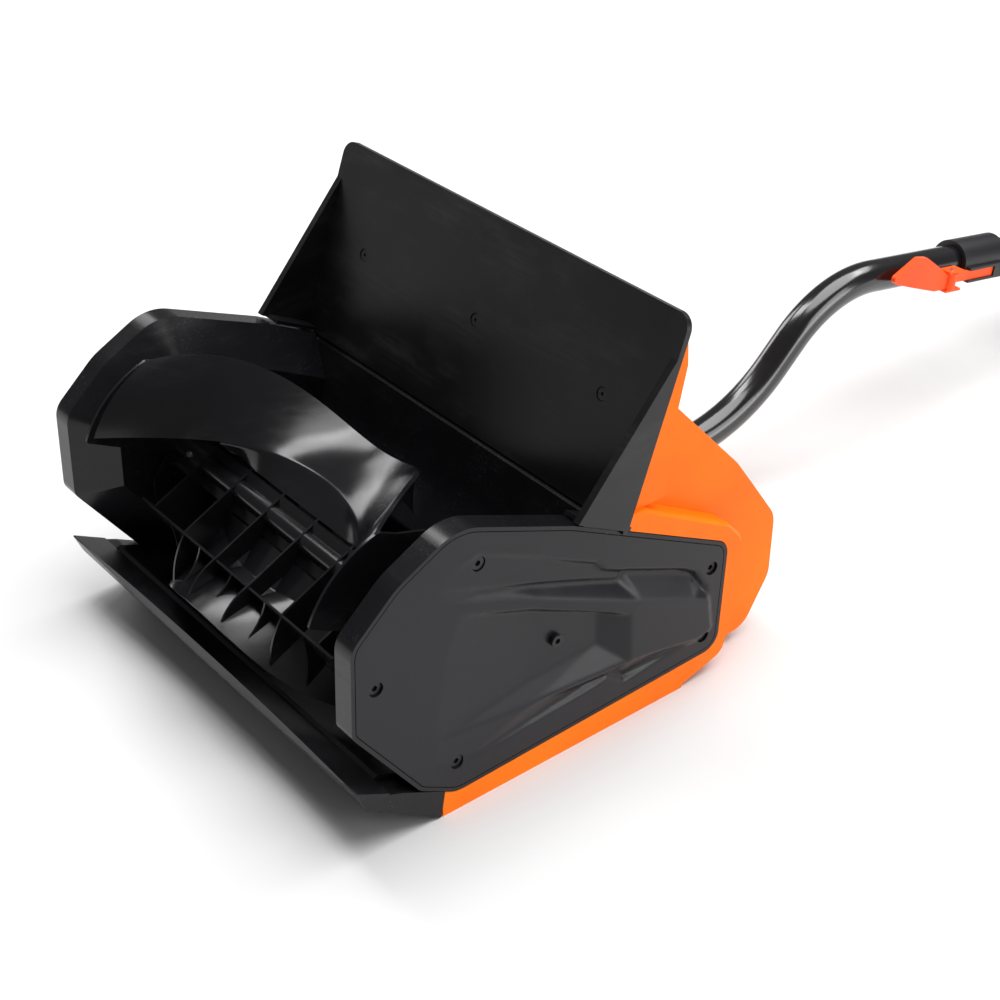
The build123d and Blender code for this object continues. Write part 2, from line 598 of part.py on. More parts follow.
def belt_loop(extra):
    """The area inside a belt line at extra outside the pulleys."""
    big, small = DRIVEN_PULLEY_R + extra, DRIVE_PULLEY_R + extra
    dy, dz = MOTOR_Y - AXIS_Y, MOTOR_Z - AXIS_Z
    centres = math.hypot(dy, dz)
    lean_angle = math.asin((big - small) / centres)
    base = math.atan2(dz, dy)
    upper = base + math.pi / 2 - lean_angle
    lower = base - math.pi / 2 + lean_angle
    corners = [
        (AXIS_Y + big * math.cos(upper), AXIS_Z + big * math.sin(upper)),
        (MOTOR_Y + small * math.cos(upper), MOTOR_Z + small * math.sin(upper)),
        (MOTOR_Y + small * math.cos(lower), MOTOR_Z + small * math.sin(lower)),
        (AXIS_Y + big * math.cos(lower), AXIS_Z + big * math.sin(lower)),
    ]
    area = slab(corners, BELT_X0, BELT_X1)
    return area + rod(AXIS_Y, AXIS_Z, big, BELT_X0, BELT_X1) + rod(MOTOR_Y, MOTOR_Z, small, BELT_X0, BELT_X1)


save("drive_belt", belt_loop(belt_gap + BELT_T) - belt_loop(belt_gap))
save("drive_pulley", pulley(MOTOR_Y, MOTOR_Z, DRIVE_PULLEY_R, MOTOR_SHAFT_R + 0.02, 12))

CAN_X0, CAN_X1 = 14.0, 120.0
can = rod(MOTOR_Y, MOTOR_Z, MOTOR_R, CAN_X0, CAN_X1)
can -= rod(MOTOR_Y, MOTOR_Z, MOTOR_R - 2, CAN_X0 - 1, CAN_X1 - 3)
can += rod(MOTOR_Y, MOTOR_Z, 12.0, CAN_X1 - 0.1, 128.0)
can -= rod(MOTOR_Y, MOTOR_Z, MOTOR_SHAFT_R + FIT, 0, 140)
for angle in range(0, 360, 45):
    turn = math.radians(angle + 22.5)
    can -= rod(MOTOR_Y + 24 * math.cos(turn), MOTOR_Z + 24 * math.sin(turn), 3.6, CAN_X1 - 5, CAN_X1 + 1)
mount_plate = slab([(49, 26, 6), (119, 26, 6), (119, 92, 6), (49, 92, 6)], CAN_X1 + 0.1, INNER_WALL_X - 0.1)
mount_plate -= rod(MOTOR_Y, MOTOR_Z, 12.1, 100, 140)
motor_screws = []
for y, z in MOTOR_SCREWS:
    can -= rod(y, z, 1.9, CAN_X1 - 5, CAN_X1 + 1)
    mount_plate -= rod(y, z, 2.1, 100, 140)
    screw = rod(y, z, 1.8, CAN_X1 - 3, BEARING_X0) + rod(y, z, 4.0, BEARING_X0 + 0.1, BEARING_X0 + 3.1)
    motor_screws.append(screw + rod(y, z, 1.8, BEARING_X0 - 0.1, BEARING_X0 + 0.2))
save("motor_can", can)
save("motor_mount", mount_plate)
save("motor_screws", motor_screws)
magnet_ring = rod(MOTOR_Y, MOTOR_Z, MOTOR_R - 2.1, 30, 96) - rod(MOTOR_Y, MOTOR_Z, MOTOR_R - 8, 20, 110)
magnets = [
    magnet_ring & box(20, 110, MOTOR_Y + 6, MOTOR_Y + 40, MOTOR_Z - 40, MOTOR_Z + 40),
    magnet_ring & box(20, 110, MOTOR_Y - 40, MOTOR_Y - 6, MOTOR_Z - 40, MOTOR_Z + 40),
]
save("motor_magnets", magnets)
end_cap = rod(MOTOR_Y, MOTOR_Z, MOTOR_R, 4.0, CAN_X0 - 0.1)
end_cap -= rod(MOTOR_Y, MOTOR_Z, MOTOR_R - 3, 7.0, CAN_X0 + 1)
end_cap += rod(MOTOR_Y, MOTOR_Z, 10.0, 4.0, 13.0)
end_cap -= rod(MOTOR_Y, MOTOR_Z, MOTOR_SHAFT_R + FIT, 0, 20)
for angle in range(0, 360, 60):
    turn = math.radians(angle)
    end_cap -= rod(MOTOR_Y + 22 * math.cos(turn), MOTOR_Z + 22 * math.sin(turn), 5.0, 3, 8)
save("motor_end_cap", end_cap)
save("motor_shaft", rod(MOTOR_Y, MOTOR_Z, MOTOR_SHAFT_R, -10.0, BELT_X1 + 3))
armature = rod(MOTOR_Y, MOTOR_Z, MOTOR_R - 9, 34, 92) + rod(MOTOR_Y, MOTOR_Z, 20, 26, 100)
armature += rod(MOTOR_Y, MOTOR_Z, 11, 18, 27)
for k in range(10):
    turn = 2 * math.pi * k / 10
    armature -= Pos(63, MOTOR_Y, MOTOR_Z) * Rot(math.degrees(turn), 0, 0) * Pos(0, 0, 25) * Box(60, 2.4, 8)
armature -= rod(MOTOR_Y, MOTOR_Z, MOTOR_SHAFT_R + 0.02, 0, 140)
save("motor_armature", armature)
fan = rod(MOTOR_Y, MOTOR_Z, 9, -9, 2) + rod(MOTOR_Y, MOTOR_Z, 32, 0.5, 2)
for k in range(11):
    turn = 360 * k / 11
    fan += Pos(-3.5, MOTOR_Y, MOTOR_Z) * Rot(turn, 0, 0) * Pos(0, 0, 20) * Box(9, 1.6, 24)
save("motor_fan", fan - rod(MOTOR_Y, MOTOR_Z, MOTOR_SHAFT_R + 0.02, -20, 20))

# ---------------------------------------------------------------- lower handle tube
TUBE_START_Y = 136.0
TUBE_END_Y = 556.0
HANDLE_Y, HANDLE_Z = 478.0, 116.4       # a point on the upper handle's axis
tube_end = (TUBE_END_Y, HANDLE_Z - (TUBE_END_Y - HANDLE_Y) * math.tan(TUBE_FALL))
centre_line = Plane.YZ * FilletPolyline(
    (TUBE_START_Y, TUBE_Z), (302.7, TUBE_Z), (395.0, 130.1), tube_end, radius=[132.0, 100.0]
)
tube_mouth = Plane(origin=(0, TUBE_START_Y, TUBE_Z), x_dir=(1, 0, 0), z_dir=(0, 1, 0))
lower_tube = sweep(tube_mouth * Circle(TUBE_R), centre_line)
lower_tube -= sweep(tube_mouth * Circle(TUBE_BORE_R), centre_line)
SOCKET_BOLTS_Y = [148.0, 172.0]
socket = box(-22, 22, 134.0, 190.0, 3.0, 66.0) & slab(inset(HOOD, SHEET + 0.1), -30, 30)
socket -= along_y(TUBE_R + FIT, 130.0, 200.0)
bolts = []
for y in SOCKET_BOLTS_Y:
    socket -= rod(y, TUBE_Z, 3.1, -30, 30)
    lower_tube -= rod(y, TUBE_Z, 3.1, -30, 30)
    bolt = rod(y, TUBE_Z, 3.0, -26, 26) + Plane.YZ.offset(22.1) * Location((y, TUBE_Z, 0)) * extrude(
        RegularPolygon(5.6, 6), amount=4)
    bolts.append(bolt + Plane.YZ.offset(-27.0) * Location((y, TUBE_Z, 0)) * extrude(
        RegularPolygon(5.6, 6), amount=4.9))
save("lower_tube", lower_tube)
save("tube_socket", socket)
save("tube_bolts", bolts)

# ---------------------------------------------------------------- telescoping handle
# Handle coordinates: x across, s along the tube (rearwards), u upwards and square to it
handle = Pos(0, HANDLE_Y, HANDLE_Z) * Rot(-math.degrees(TUBE_FALL), 0, 0)


def pipe(radius, s0, s1):
    """A cylinder along the handle."""
    return along_y(radius, s0, s1, 0.0, 0.0)


def upright(x, s, radius, u0, u1):
    """A cylinder square to the handle, along u."""
    return Pos(x, s, (u0 + u1) / 2) * Cylinder(radius, u1 - u0)


UPPER_START, UPPER_END = 24.0, 488.0
COLLAR_S0, COLLAR_MID, COLLAR_S1 = 61.0, 79.2, 114.0
upper_tube = pipe(UPPER_R, UPPER_START, UPPER_END) - pipe(UPPER_BORE_R, UPPER_START - 1, UPPER_END + 1)
save("upper_tube", handle * upper_tube)
collar = pipe(16.5, COLLAR_S0, COLLAR_S1)
collar = chamfer(collar.faces().sort_by(Axis.Y)[-1].edges(), 1.5)
collar += box(8.0, 20.0, COLLAR_S0 + 3, COLLAR_S1 - 6, -12.0, 0.0)
collar -= pipe(TUBE_R + FIT, COLLAR_S0 - 1, COLLAR_MID) + pipe(UPPER_R + FIT, COLLAR_MID - 1, COLLAR_S1 + 1)
jaw_slot = box(12.9, 30.0, 28.0, 96.1, -10.1, -1.9)
collar -= jaw_slot
save("clamp_collar", handle * collar)

# clamp lever: its pin stands square to the tube on the right, the closed lever lies forward
PIN_AT_X, PIN_AT_S = 20.0, 38.5
jaw = box(13.0, 18.4, 46.0, 96.0, -10.0, -2.0) + box(13.4, 24.0, 32.0, 50.0, -14.4, -12.6)
jaw += box(13.4, 24.0, 32.0, 50.0, 0.6, 2.4) + box(13.4, 18.4, 45.6, 50.0, -14.4, 2.4)
jaw -= pipe(TUBE_R + 0.3, 20, 120)
lever_outline = [
    (-35.0, 4.5, 3.0), (-9.6, 19.0, 5.0), (2.0, 17.5, 5.0), (26.0, 4.0, 4.0), (31.0, 0.2, 0), (45.0, 0.2, 0),
    (45.0, -12.2, 0), (20.0, -12.2, 5.0), (-9.4, -5.0, 8.0), (-30.0, 0.5, 3.0),
]
lever = slab(lever_outline, 17.6, 21.6) & (box(0, 40, -50, PIN_AT_S, -20, 30))
lever += upright(PIN_AT_X, PIN_AT_S, 5.4, -12.2, 0.2)
jaw -= upright(PIN_AT_X, PIN_AT_S, 5.8, -12.6, 0.6)
lever -= upright(PIN_AT_X, PIN_AT_S, 1.65, -30, 30)
jaw -= upright(PIN_AT_X, PIN_AT_S, 1.62, -30, 30)
save("clamp_jaw", handle * jaw)
save("clamp_lever", handle * lever)
save("clamp_pin", handle * upright(PIN_AT_X, PIN_AT_S, 1.6, -15.4, 3.4))

# ---------------------------------------------------------------- rear grip
GRIP_HALF = 18.0
GRIP_WALL = 2.6
GRIP = [
    (455.0, -15.0, 5.0), (482.0, -19.8, 12.0), (604.0, -18.4, 16.0), (620.0, 20.0, 40.0), (612.0, 86.0, 26.0),
    (505.0, 86.0, 24.0), (476.0, 56.0, 26.0), (455.0, 16.0, 5.0),
]
GRIP_HOLE = [
    (494.0, 6.0, 11.0), (586.0, 6.0, 14.0), (588.0, 58.0, 14.0), (508.0, 58.0, 11.0),
]
GRIP_SCREWS = [(502.0, -7.0), (590.0, -7.0), (600.0, 66.0), (489.0, 58.0)]
TRIGGER_PIN = (508.0, 66.0)
BUTTON = (500.0, 71.0)


def grip_half():
    """The right-hand half shell of the rear grip."""
    shell_edge = 6.0
    half = slab(GRIP, 0.02, GRIP_HALF - shell_edge)
    waist = outline(inset(GRIP, 1.6), GRIP_HALF - 2.0)
    half += loft([outline(GRIP, GRIP_HALF - shell_edge), waist], ruled=True)
    half += loft([waist, outline(inset(GRIP, 4.0), GRIP_HALF)], ruled=True)
    half -= slab(inset(GRIP, GRIP_WALL), -1, GRIP_HALF - 5.0)
    half -= slab(inset(GRIP, GRIP_WALL + 3.0), -1, GRIP_HALF - GRIP_WALL)
    half += slab(inset(GRIP_HOLE, -GRIP_WALL), 0.02, GRIP_HALF - 0.5) & slab(inset(GRIP, 1.0), 0, GRIP_HALF)
    half -= slab(GRIP_HOLE, -1, GRIP_HALF + 1)
    half += box(0.02, GRIP_HALF - 2.5, 458.0, 463.0, -14.0, 14.0)
    half += box(0.02, GRIP_HALF - 2.5, 482.0, 487.0, -16.0, 20.0)
    half += box(0.02, GRIP_HALF - 2.5, 470.0, 474.0, -15.0, 18.0)
    half -= pipe(UPPER_R + FIT, 440.0, 490.0)
    for s, u in GRIP_SCREWS:
        half += rod(s, u, 4.2, 0.02, GRIP_HALF - 1)
    for s, u in GRIP_SCREWS:
        half -= rod(s, u, 1.9, -1, GRIP_HALF - 4)
    half += rod(*TRIGGER_PIN, 3.4, 5.6, GRIP_HALF - 2)
    half -= rod(*TRIGGER_PIN, 1.55, -1, 14.2)
    half -= box(-1, 5.5, 510.0, 560.0, 54.0, 62.0)
    return half


right_grip = grip_half()
left_grip = other_side(right_grip)
grip_screws = []
for s, u in GRIP_SCREWS:
    left_grip -= rod(s, u, 1.9, -30, 0) + rod(s, u, 3.9, -GRIP_HALF - 1, -GRIP_HALF + 3.0)
    screw = rod(s, u, 1.85, -GRIP_HALF + 2.9, 13.0) + rod(s, u, 3.8, -GRIP_HALF + 0.6, -GRIP_HALF + 3.0)
    grip_screws.append(handle * (screw - rod(s, u, 1.4, -GRIP_HALF - 1, -GRIP_HALF + 2.0)))
right_grip -= rod(*BUTTON, 4.05, 10, 30) + rod(*BUTTON, 5.2, 6.0, 12.8)
INLET_U = 22.0
inlet_plane = Plane(origin=(0, 617.0, INLET_U), x_dir=(1, 0, 0), z_dir=(0, 1, 0))
inlet_way = inlet_plane * Pos(0, 0, -20) * extrude(RectangleRounded(26.2, 20.2, 4.0), amount=40)
right_grip -= inlet_way
left_grip -= inlet_way
save("grip_shell_right", handle * right_grip)
save("grip_shell_left", handle * left_grip)
save("grip_screws", grip_screws)
inlet = inlet_plane * Pos(0, 0, -20) * extrude(RectangleRounded(26.0, 20.0, 4.0), amount=26)
inlet += inlet_plane * Pos(0, 0, 4.2) * extrude(RectangleRounded(30.0, 24.0, 5.0), amount=3)
inlet -= inlet_plane * Pos(0, 0, -16) * extrude(RectangleRounded(20.0, 14.0, 3.0), amount=40)
prongs = []
for x in (-5.0, 5.0):
    hole = box(x - 1.0, x + 1.0, 595.0, 604.0, INLET_U - 3.2, INLET_U + 3.2)
    inlet -= hole
    prongs.append(handle * box(x - 0.9, x + 0.9, 596.0, 619.0, INLET_U - 3.1, INLET_U + 3.1))
save("power_inlet", handle * inlet)
save("inlet_prongs", prongs)

trigger = slab(
    [
        (504.2, 70.0, 1.5), (512.5, 70.0, 1.0), (518.0, 64.6, 0), (556.0, 64.6, 1.0), (556.0, 60.0, 2.0),
        (545.0, 50.0, 8.0), (522.0, 50.0, 8.0), (513.0, 61.8, 0), (504.2, 61.8, 1.5),
    ],
    -5.0, 5.0,
)
trigger -= rod(*TRIGGER_PIN, 1.55, -10, 10)
save("trigger", handle * trigger)
save("trigger_pin", handle * rod(*TRIGGER_PIN, 1.5, -14.0, 14.0))
button = rod(*BUTTON, 4.0, 12.0, 20.5) + rod(*BUTTON, 5.0, 11.0, 12.6)
save("lock_button", handle * button)
switch = box(-9.0, 9.0, 521.0, 547.0, 71.5, 82.0) + box(-8.0, -6.5, 526.0, 530.0, 81.9, 83.0)
save("switch_body", handle * (switch + box(6.5, 8.0, 538.0, 542.0, 81.9, 83.0)))

# ---------------------------------------------------------------- auxiliary handle
AUX_S = 245.0
AUX_PIVOT_U = 26.0
clamp = pipe(15.5, AUX_S - 13, AUX_S + 13)
clamp += box(-9.8, 9.8, AUX_S - 9, AUX_S + 9, 9.0, AUX_PIVOT_U) + rod(AUX_S, AUX_PIVOT_U, 9.0, -9.8, 9.8)
clamp -= pipe(UPPER_R + 0.02, AUX_S - 20, AUX_S + 20) + box(-1.2, 1.2, AUX_S - 20, AUX_S + 20, 0.0, 40.0)
clamp -= rod(AUX_S, AUX_PIVOT_U, 3.02, -20, 20)
save("aux_clamp", handle * clamp)
aux_line = Plane.XZ.offset(-AUX_S) * FilletPolyline(
    (17.0, AUX_PIVOT_U), (17.0, 50.0), (62.0, 78.0), (58.0, 128.0), (-58.0, 128.0), (-62.0, 78.0),
    (-17.0, 50.0), (-17.0, AUX_PIVOT_U), radius=[12.0, 22.0, 24.0, 24.0, 22.0, 12.0],
)
aux_start = Plane(origin=(17.0, AUX_S, AUX_PIVOT_U), x_dir=(1, 0, 0), z_dir=(0, 0, 1))
bail = sweep(aux_start * Circle(6.8), aux_line)
for side in (-1, 1):
    bail += rod(AUX_S, AUX_PIVOT_U, 9.0, side * 17 - 6.9, side * 17 + 6.9)
bail -= rod(AUX_S, AUX_PIVOT_U, 3.08, -40, 40)
save("aux_bail", handle * bail)
aux_grip_line = Plane.XZ.offset(-AUX_S) * Line((32.0, 128.0), (-32.0, 128.0))
sleeve_end = Plane(origin=(32.0, AUX_S, 128.0), x_dir=(0, 1, 0), z_dir=(-1, 0, 0))
sleeve = sweep(sleeve_end * Circle(9.5), aux_grip_line) - sweep(sleeve_end * Circle(6.85), aux_grip_line)
save("aux_grip_sleeve", handle * sleeve)
aux_bolt = rod(AUX_S, AUX_PIVOT_U, 3.0, -27.0, 34.0) + rod(AUX_S, AUX_PIVOT_U, 6.5, -28.5, -24.2)
save("aux_bolt", handle * aux_bolt)
knob = rod(AUX_S, AUX_PIVOT_U, 13.0, 26.0, 40.0) + rod(AUX_S, AUX_PIVOT_U, 8.0, 24.2, 27.0)
for k in range(6):
    turn = 2 * math.pi * k / 6
    knob -= rod(AUX_S + 15.5 * math.cos(turn), AUX_PIVOT_U + 15.5 * math.sin(turn), 4.5, 20, 50)
save("aux_knob", handle * (knob - rod(AUX_S, AUX_PIVOT_U, 3.05, 20, 35.0)))
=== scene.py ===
import json
import math

import bpy
import bmesh
from mathutils import Matrix, Vector
from mathutils.bvhtree import BVHTree


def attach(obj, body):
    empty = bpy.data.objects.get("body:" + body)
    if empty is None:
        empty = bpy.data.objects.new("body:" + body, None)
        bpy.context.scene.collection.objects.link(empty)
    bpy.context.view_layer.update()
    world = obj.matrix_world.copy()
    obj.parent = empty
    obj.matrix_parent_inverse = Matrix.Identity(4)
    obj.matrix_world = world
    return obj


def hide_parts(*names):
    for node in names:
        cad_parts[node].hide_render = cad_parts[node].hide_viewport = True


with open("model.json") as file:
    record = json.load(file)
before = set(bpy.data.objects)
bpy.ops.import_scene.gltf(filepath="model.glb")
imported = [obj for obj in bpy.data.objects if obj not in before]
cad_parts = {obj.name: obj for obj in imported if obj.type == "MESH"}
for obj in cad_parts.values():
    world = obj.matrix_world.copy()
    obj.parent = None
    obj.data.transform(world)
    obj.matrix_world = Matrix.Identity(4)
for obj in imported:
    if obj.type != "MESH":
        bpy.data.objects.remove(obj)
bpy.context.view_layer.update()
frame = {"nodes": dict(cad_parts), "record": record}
nodes = frame["nodes"]
scene = bpy.context.scene

# ------------------------------------------------------------------ camera
CAMERA_PLACE, FAR_CLIP = (0.8193, -0.5781, 0.7507), 50.0    # metres
AZIMUTH, ELEVATION = math.radians(51.16), math.radians(33.04)
LENS, SENSOR_WIDTH = 66.92, 36.0                            # millimetres

camera = bpy.data.objects.new("camera", bpy.data.cameras.new("camera"))
scene.collection.objects.link(camera)
scene.camera = camera
scene.view_settings.view_transform = "Standard"
camera.data.sensor_width = SENSOR_WIDTH
camera.data.lens = LENS
camera.data.clip_end = FAR_CLIP
camera.location = CAMERA_PLACE
look = Vector((
    -math.sin(AZIMUTH) * math.cos(ELEVATION), math.cos(AZIMUTH) * math.cos(ELEVATION), -math.sin(ELEVATION)
))
camera.rotation_euler = look.to_track_quat("-Z", "Y").to_euler()


# ------------------------------------------------------------------ node helpers
class Nodes:
    """A short way to write one material's node tree."""

    # sockets of a Mix node that mixes colours
    FACTOR, FIRST_COLOR, SECOND_COLOR, MIXED_COLOR = 0, 6, 7, 2

    def __init__(self, name):
        self.material = bpy.data.materials.new(name)
        self.material.use_nodes = True
        self.tree = self.material.node_tree
        self.shader = self.tree.nodes["Principled BSDF"]
        coords = self.add("ShaderNodeTexCoord")
        self.coords = coords.outputs["Object"]

    def add(self, kind, **settings):
        node = self.tree.nodes.new(kind)
        for key, value in settings.items():
            setattr(node, key, value)
        return node

    def link(self, source, target):
        self.tree.links.new(source, target)

    def noise(self, scale, detail=3.0, rough=0.55, stretch=(1, 1, 1), turn=(0, 0, 0)):
        mapping = self.add("ShaderNodeMapping")
        mapping.inputs["Scale"].default_value = stretch
        mapping.inputs["Rotation"].default_value = turn
        self.link(self.coords, mapping.inputs["Vector"])
        node = self.add("ShaderNodeTexNoise")
        node.inputs["Scale"].default_value = scale
        node.inputs["Detail"].default_value = detail
        node.inputs["Roughness"].default_value = rough
        self.link(mapping.outputs["Vector"], node.inputs["Vector"])
        return node.outputs["Fac"]

    def ramp(self, source, low, high, out_low=0.0, out_high=1.0):
        node = self.add("ShaderNodeMapRange")
        node.inputs["From Min"].default_value = low
        node.inputs["From Max"].default_value = high
        node.inputs["To Min"].default_value = out_low
        node.inputs["To Max"].default_value = out_high
        self.link(source, node.inputs["Value"])
        return node.outputs["Result"]

    def mix(self, factor, a, b):
        node = self.add("ShaderNodeMix", data_type="RGBA")
        for value, socket in ((a, node.inputs[self.FIRST_COLOR]), (b, node.inputs[self.SECOND_COLOR])):
            if isinstance(value, tuple):
                socket.default_value = (*value, 1.0)
            else:
                self.link(value, socket)
        self.link(factor, node.inputs[self.FACTOR])
        return node.outputs[self.MIXED_COLOR]

    def math(self, operation, a, b):
        node = self.add("ShaderNodeMath", operation=operation)
        self.link(a, node.inputs[0])
        if isinstance(b, float):
            node.inputs[1].default_value = b
        else:
            self.link(b, node.inputs[1])
        return node.outputs[0]

    def bump(self, height, strength, distance, under=None):
        node = self.add("ShaderNodeBump")
        node.inputs["Strength"].default_value = strength
        node.inputs["Distance"].default_value = distance
        self.link(height, node.inputs["Height"])
        if under is not None:
            self.link(under, node.inputs["Normal"])
        return node.outputs["Normal"]


def scaled(color, share):
    """A colour made lighter or darker."""
    return tuple(c * share for c in color)


# ------------------------------------------------------------------ materials
DUST_TONE, SCUFF_TONE = (0.42, 0.42, 0.43), (0.2, 0.2, 0.21)


def moulded(name, color, rough, grain=0.12, grain_scale=2400.0, scuffs=0.0, dust=0.0, specular=0.5):
    """Injection moulded plastic: fine grain, uneven gloss, and optional scuffs and dust."""
    n = Nodes(name)
    cloud = n.noise(9.0, 4.0, 0.6)
    fine = n.noise(170.0, 3.0, 0.6)
    light = tuple(min(1.0, c * 1.18 + 0.002) for c in color)
    tone = n.mix(n.ramp(cloud, 0.3, 0.7), scaled(color, 0.88), light)
    if dust:
        specks = n.noise(620.0, 2.0, 0.7)
        patches = n.ramp(n.noise(22.0, 3.0, 0.6), 0.42, 0.72)
        amount = n.math("MULTIPLY", n.ramp(specks, 0.6, 0.78), patches)
        tone = n.mix(n.math("MULTIPLY", amount, dust), tone, DUST_TONE)
    roughness = n.ramp(cloud, 0.25, 0.75, rough * 0.86, rough * 1.14)
    if scuffs:
        streak = n.noise(14.0, 5.0, 0.68, stretch=(1.0, 0.5, 2.4), turn=(0.35, 0.2, 0.5))
        hair = n.noise(60.0, 4.0, 0.75, stretch=(0.25, 1.0, 5.0), turn=(0.2, 0.5, 0.1))
        marks = n.math("MULTIPLY", n.ramp(streak, 0.48, 0.78), n.ramp(hair, 0.35, 0.75))
        tone = n.mix(n.math("MULTIPLY", marks, scuffs), tone, SCUFF_TONE)
        roughness = n.math("ADD", roughness, n.math("MULTIPLY", marks, 0.22))
    n.link(tone, n.shader.inputs["Base Color"])
    n.link(roughness, n.shader.inputs["Roughness"])
    n.shader.inputs["Specular IOR Level"].default_value = specular
    normal = n.bump(n.noise(grain_scale, 2.0, 0.5), grain, 0.00008)
    normal = n.bump(fine, grain * 0.6, 0.0002, normal)
    n.link(normal, n.shader.inputs["Normal"])
    return n.material


def metal(name, color, rough, brush=(1.0, 1.0, 1.0), scale=400.0, metallic=1.0):
    """Bare or plated metal with brushing or turning marks."""
    n = Nodes(name)
    marks = n.noise(scale, 3.0, 0.6, stretch=brush)
    cloud = n.noise(30.0, 3.0, 0.6)
    n.link(n.mix(n.ramp(cloud, 0.3, 0.7), scaled(color, 0.75), color), n.shader.inputs["Base Color"])
    n.link(n.ramp(marks, 0.25, 0.75, rough * 0.75, rough * 1.3), n.shader.inputs["Roughness"])
    n.shader.inputs["Metallic"].default_value = metallic
    n.link(n.bump(marks, 0.25, 0.0001), n.shader.inputs["Normal"])
    return n.material


def powder_coat(name, color, rough):
    """Gloss powder coat: orange-peel bump under a clear coat."""
    n = Nodes(name)
    peel = n.noise(520.0, 2.0, 0.45)
    cloud = n.noise(14.0, 3.0, 0.5)
    n.link(n.mix(n.ramp(cloud, 0.3, 0.7), color, scaled(color, 1.5)), n.shader.inputs["Base Color"])
    n.link(n.ramp(cloud, 0.3, 0.7, rough * 0.85, rough * 1.15), n.shader.inputs["Roughness"])
    n.shader.inputs["Coat Weight"].default_value = 0.5
    n.shader.inputs["Coat Roughness"].default_value = 0.12
    n.link(n.bump(peel, 0.15, 0.00012), n.shader.inputs["Normal"])
    return n.material


def rubber(name, color, rough, scale):
    """Matt rubber or foam with a pebbled skin."""
    n = Nodes(name)
    pebble = n.noise(scale, 3.0, 0.6)
    n.link(n.mix(n.ramp(pebble, 0.3, 0.7), scaled(color, 0.7), color), n.shader.inputs["Base Color"])
    n.link(n.ramp(n.noise(25.0), 0.3, 0.7, rough * 0.9, min(1.0, rough * 1.1)), n.shader.inputs["Roughness"])
    n.link(n.bump(pebble, 0.5, 0.0002), n.shader.inputs["Normal"])
    return n.material


gloss_black = moulded(
    "gloss_black", (0.004, 0.004, 0.005), 0.22, grain=0.04, dust=0.1, scuffs=0.05, specular=0.3
)
rotor_black = moulded("rotor_black", (0.004, 0.004, 0.005), 0.2, grain=0.04, scuffs=0.06, specular=0.45)
satin_black = moulded("satin_black", (0.0045, 0.0045, 0.0055), 0.33, grain=0.1, scuffs=0.16, specular=0.36)
blade_black = moulded(
    "blade_black", (0.005, 0.005, 0.006), 0.3, grain=0.1, scuffs=0.12, dust=0.2, specular=0.26
)
charcoal = moulded("charcoal", (0.0055, 0.0056, 0.0078), 0.33, grain=0.3, grain_scale=1500.0, specular=0.3)
orange = moulded("orange", (1.0, 0.165, 0.0), 0.5, grain=0.2, grain_scale=1800.0, specular=0.16)
lever_orange = moulded("lever_orange", (1.0, 0.085, 0.012), 0.38, specular=0.2)
clamp_black = moulded("clamp_black", (0.009, 0.009, 0.011), 0.38, grain=0.3, specular=0.4)
grip_black = moulded("grip_black", (0.022, 0.022, 0.025), 0.55, grain=0.6, grain_scale=1100.0)
screw_black = metal("screw_black", (0.03, 0.03, 0.032), 0.35, metallic=0.6)
steel = metal("steel", (0.62, 0.62, 0.64), 0.28, brush=(14.0, 1.0, 1.0))
cast = metal("cast_metal", (0.55, 0.55, 0.57), 0.5, scale=900.0)
motor_paint = metal("motor_paint", (0.16, 0.16, 0.17), 0.45, scale=700.0, metallic=0.4)
iron = metal("iron", (0.22, 0.18, 0.15), 0.5, brush=(60.0, 1.0, 1.0), scale=60.0, metallic=0.8)
brass = metal("brass", (0.78, 0.60, 0.28), 0.3)
tube_black = powder_coat("tube_black", (0.004, 0.004, 0.005), 0.2)
belt_rubber = rubber("belt_rubber", (0.02, 0.02, 0.02), 0.8, 900.0)
sleeve_rubber = rubber("sleeve_rubber", (0.03, 0.03, 0.032), 0.9, 1300.0)
fan_white = moulded("fan_white", (0.62, 0.62, 0.60), 0.5, grain=0.3)

finish = {
    "housing_black": gloss_black, "deflector_black": satin_black, "scraper_black": blade_black,
    "orange_shell": orange, "cover_charcoal": charcoal, "screw_black": screw_black,
    "bearing_steel": steel, "rotor_black": rotor_black, "bright_steel": steel, "pulley_black": clamp_black,
    "belt_rubber": belt_rubber, "pulley_metal": cast, "motor_steel": motor_paint, "magnet_grey": iron,
    "fan_white": fan_white, "armature_iron": iron, "tube_black": tube_black, "clamp_black": clamp_black,
    "orange_lever": lever_orange, "grip_black": grip_black, "brass_prong": brass,
    "sleeve_rubber": sleeve_rubber,
}
for entry in frame["record"]["subparts"]:
    node = nodes[entry["node"]]
    material = finish[entry["material_slot"]]
    if node.data.materials:
        for slot in node.material_slots:
            slot.material = material
    else:
        node.data.materials.append(material)

# ------------------------------------------------------------------ mesh helpers, in millimetres
MM = 0.001
AXIS_Y, AXIS_Z = -84.0, 113.0    # the rotor's axis
ARC_STEPS, SMALLEST_RADIUS = 6, 0.5


def shade_smooth(mesh):
    for polygon in mesh.polygons:
        polygon.use_smooth = True


def add_piece(name, mesh, material, body, instead_of):
    """Put a mesh in the scene as a piece that rides on a body and stands for some CAD nodes."""
    mesh.name = name
    mesh.materials.clear()
    mesh.materials.append(material)
    piece = bpy.data.objects.new(name, mesh)
    scene.collection.objects.link(piece)
    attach(piece, body)
    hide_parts(*instead_of)
    return piece


def soften_edges(piece, width, segments, angle):
    """Round the edges that turn by more than an angle in degrees."""
    soften = piece.modifiers.new("soften", "BEVEL")
    soften.width = width * MM
    soften.segments = segments
    soften.limit_method = "ANGLE"
    soften.angle_limit = math.radians(angle)
    soften.harden_normals = True


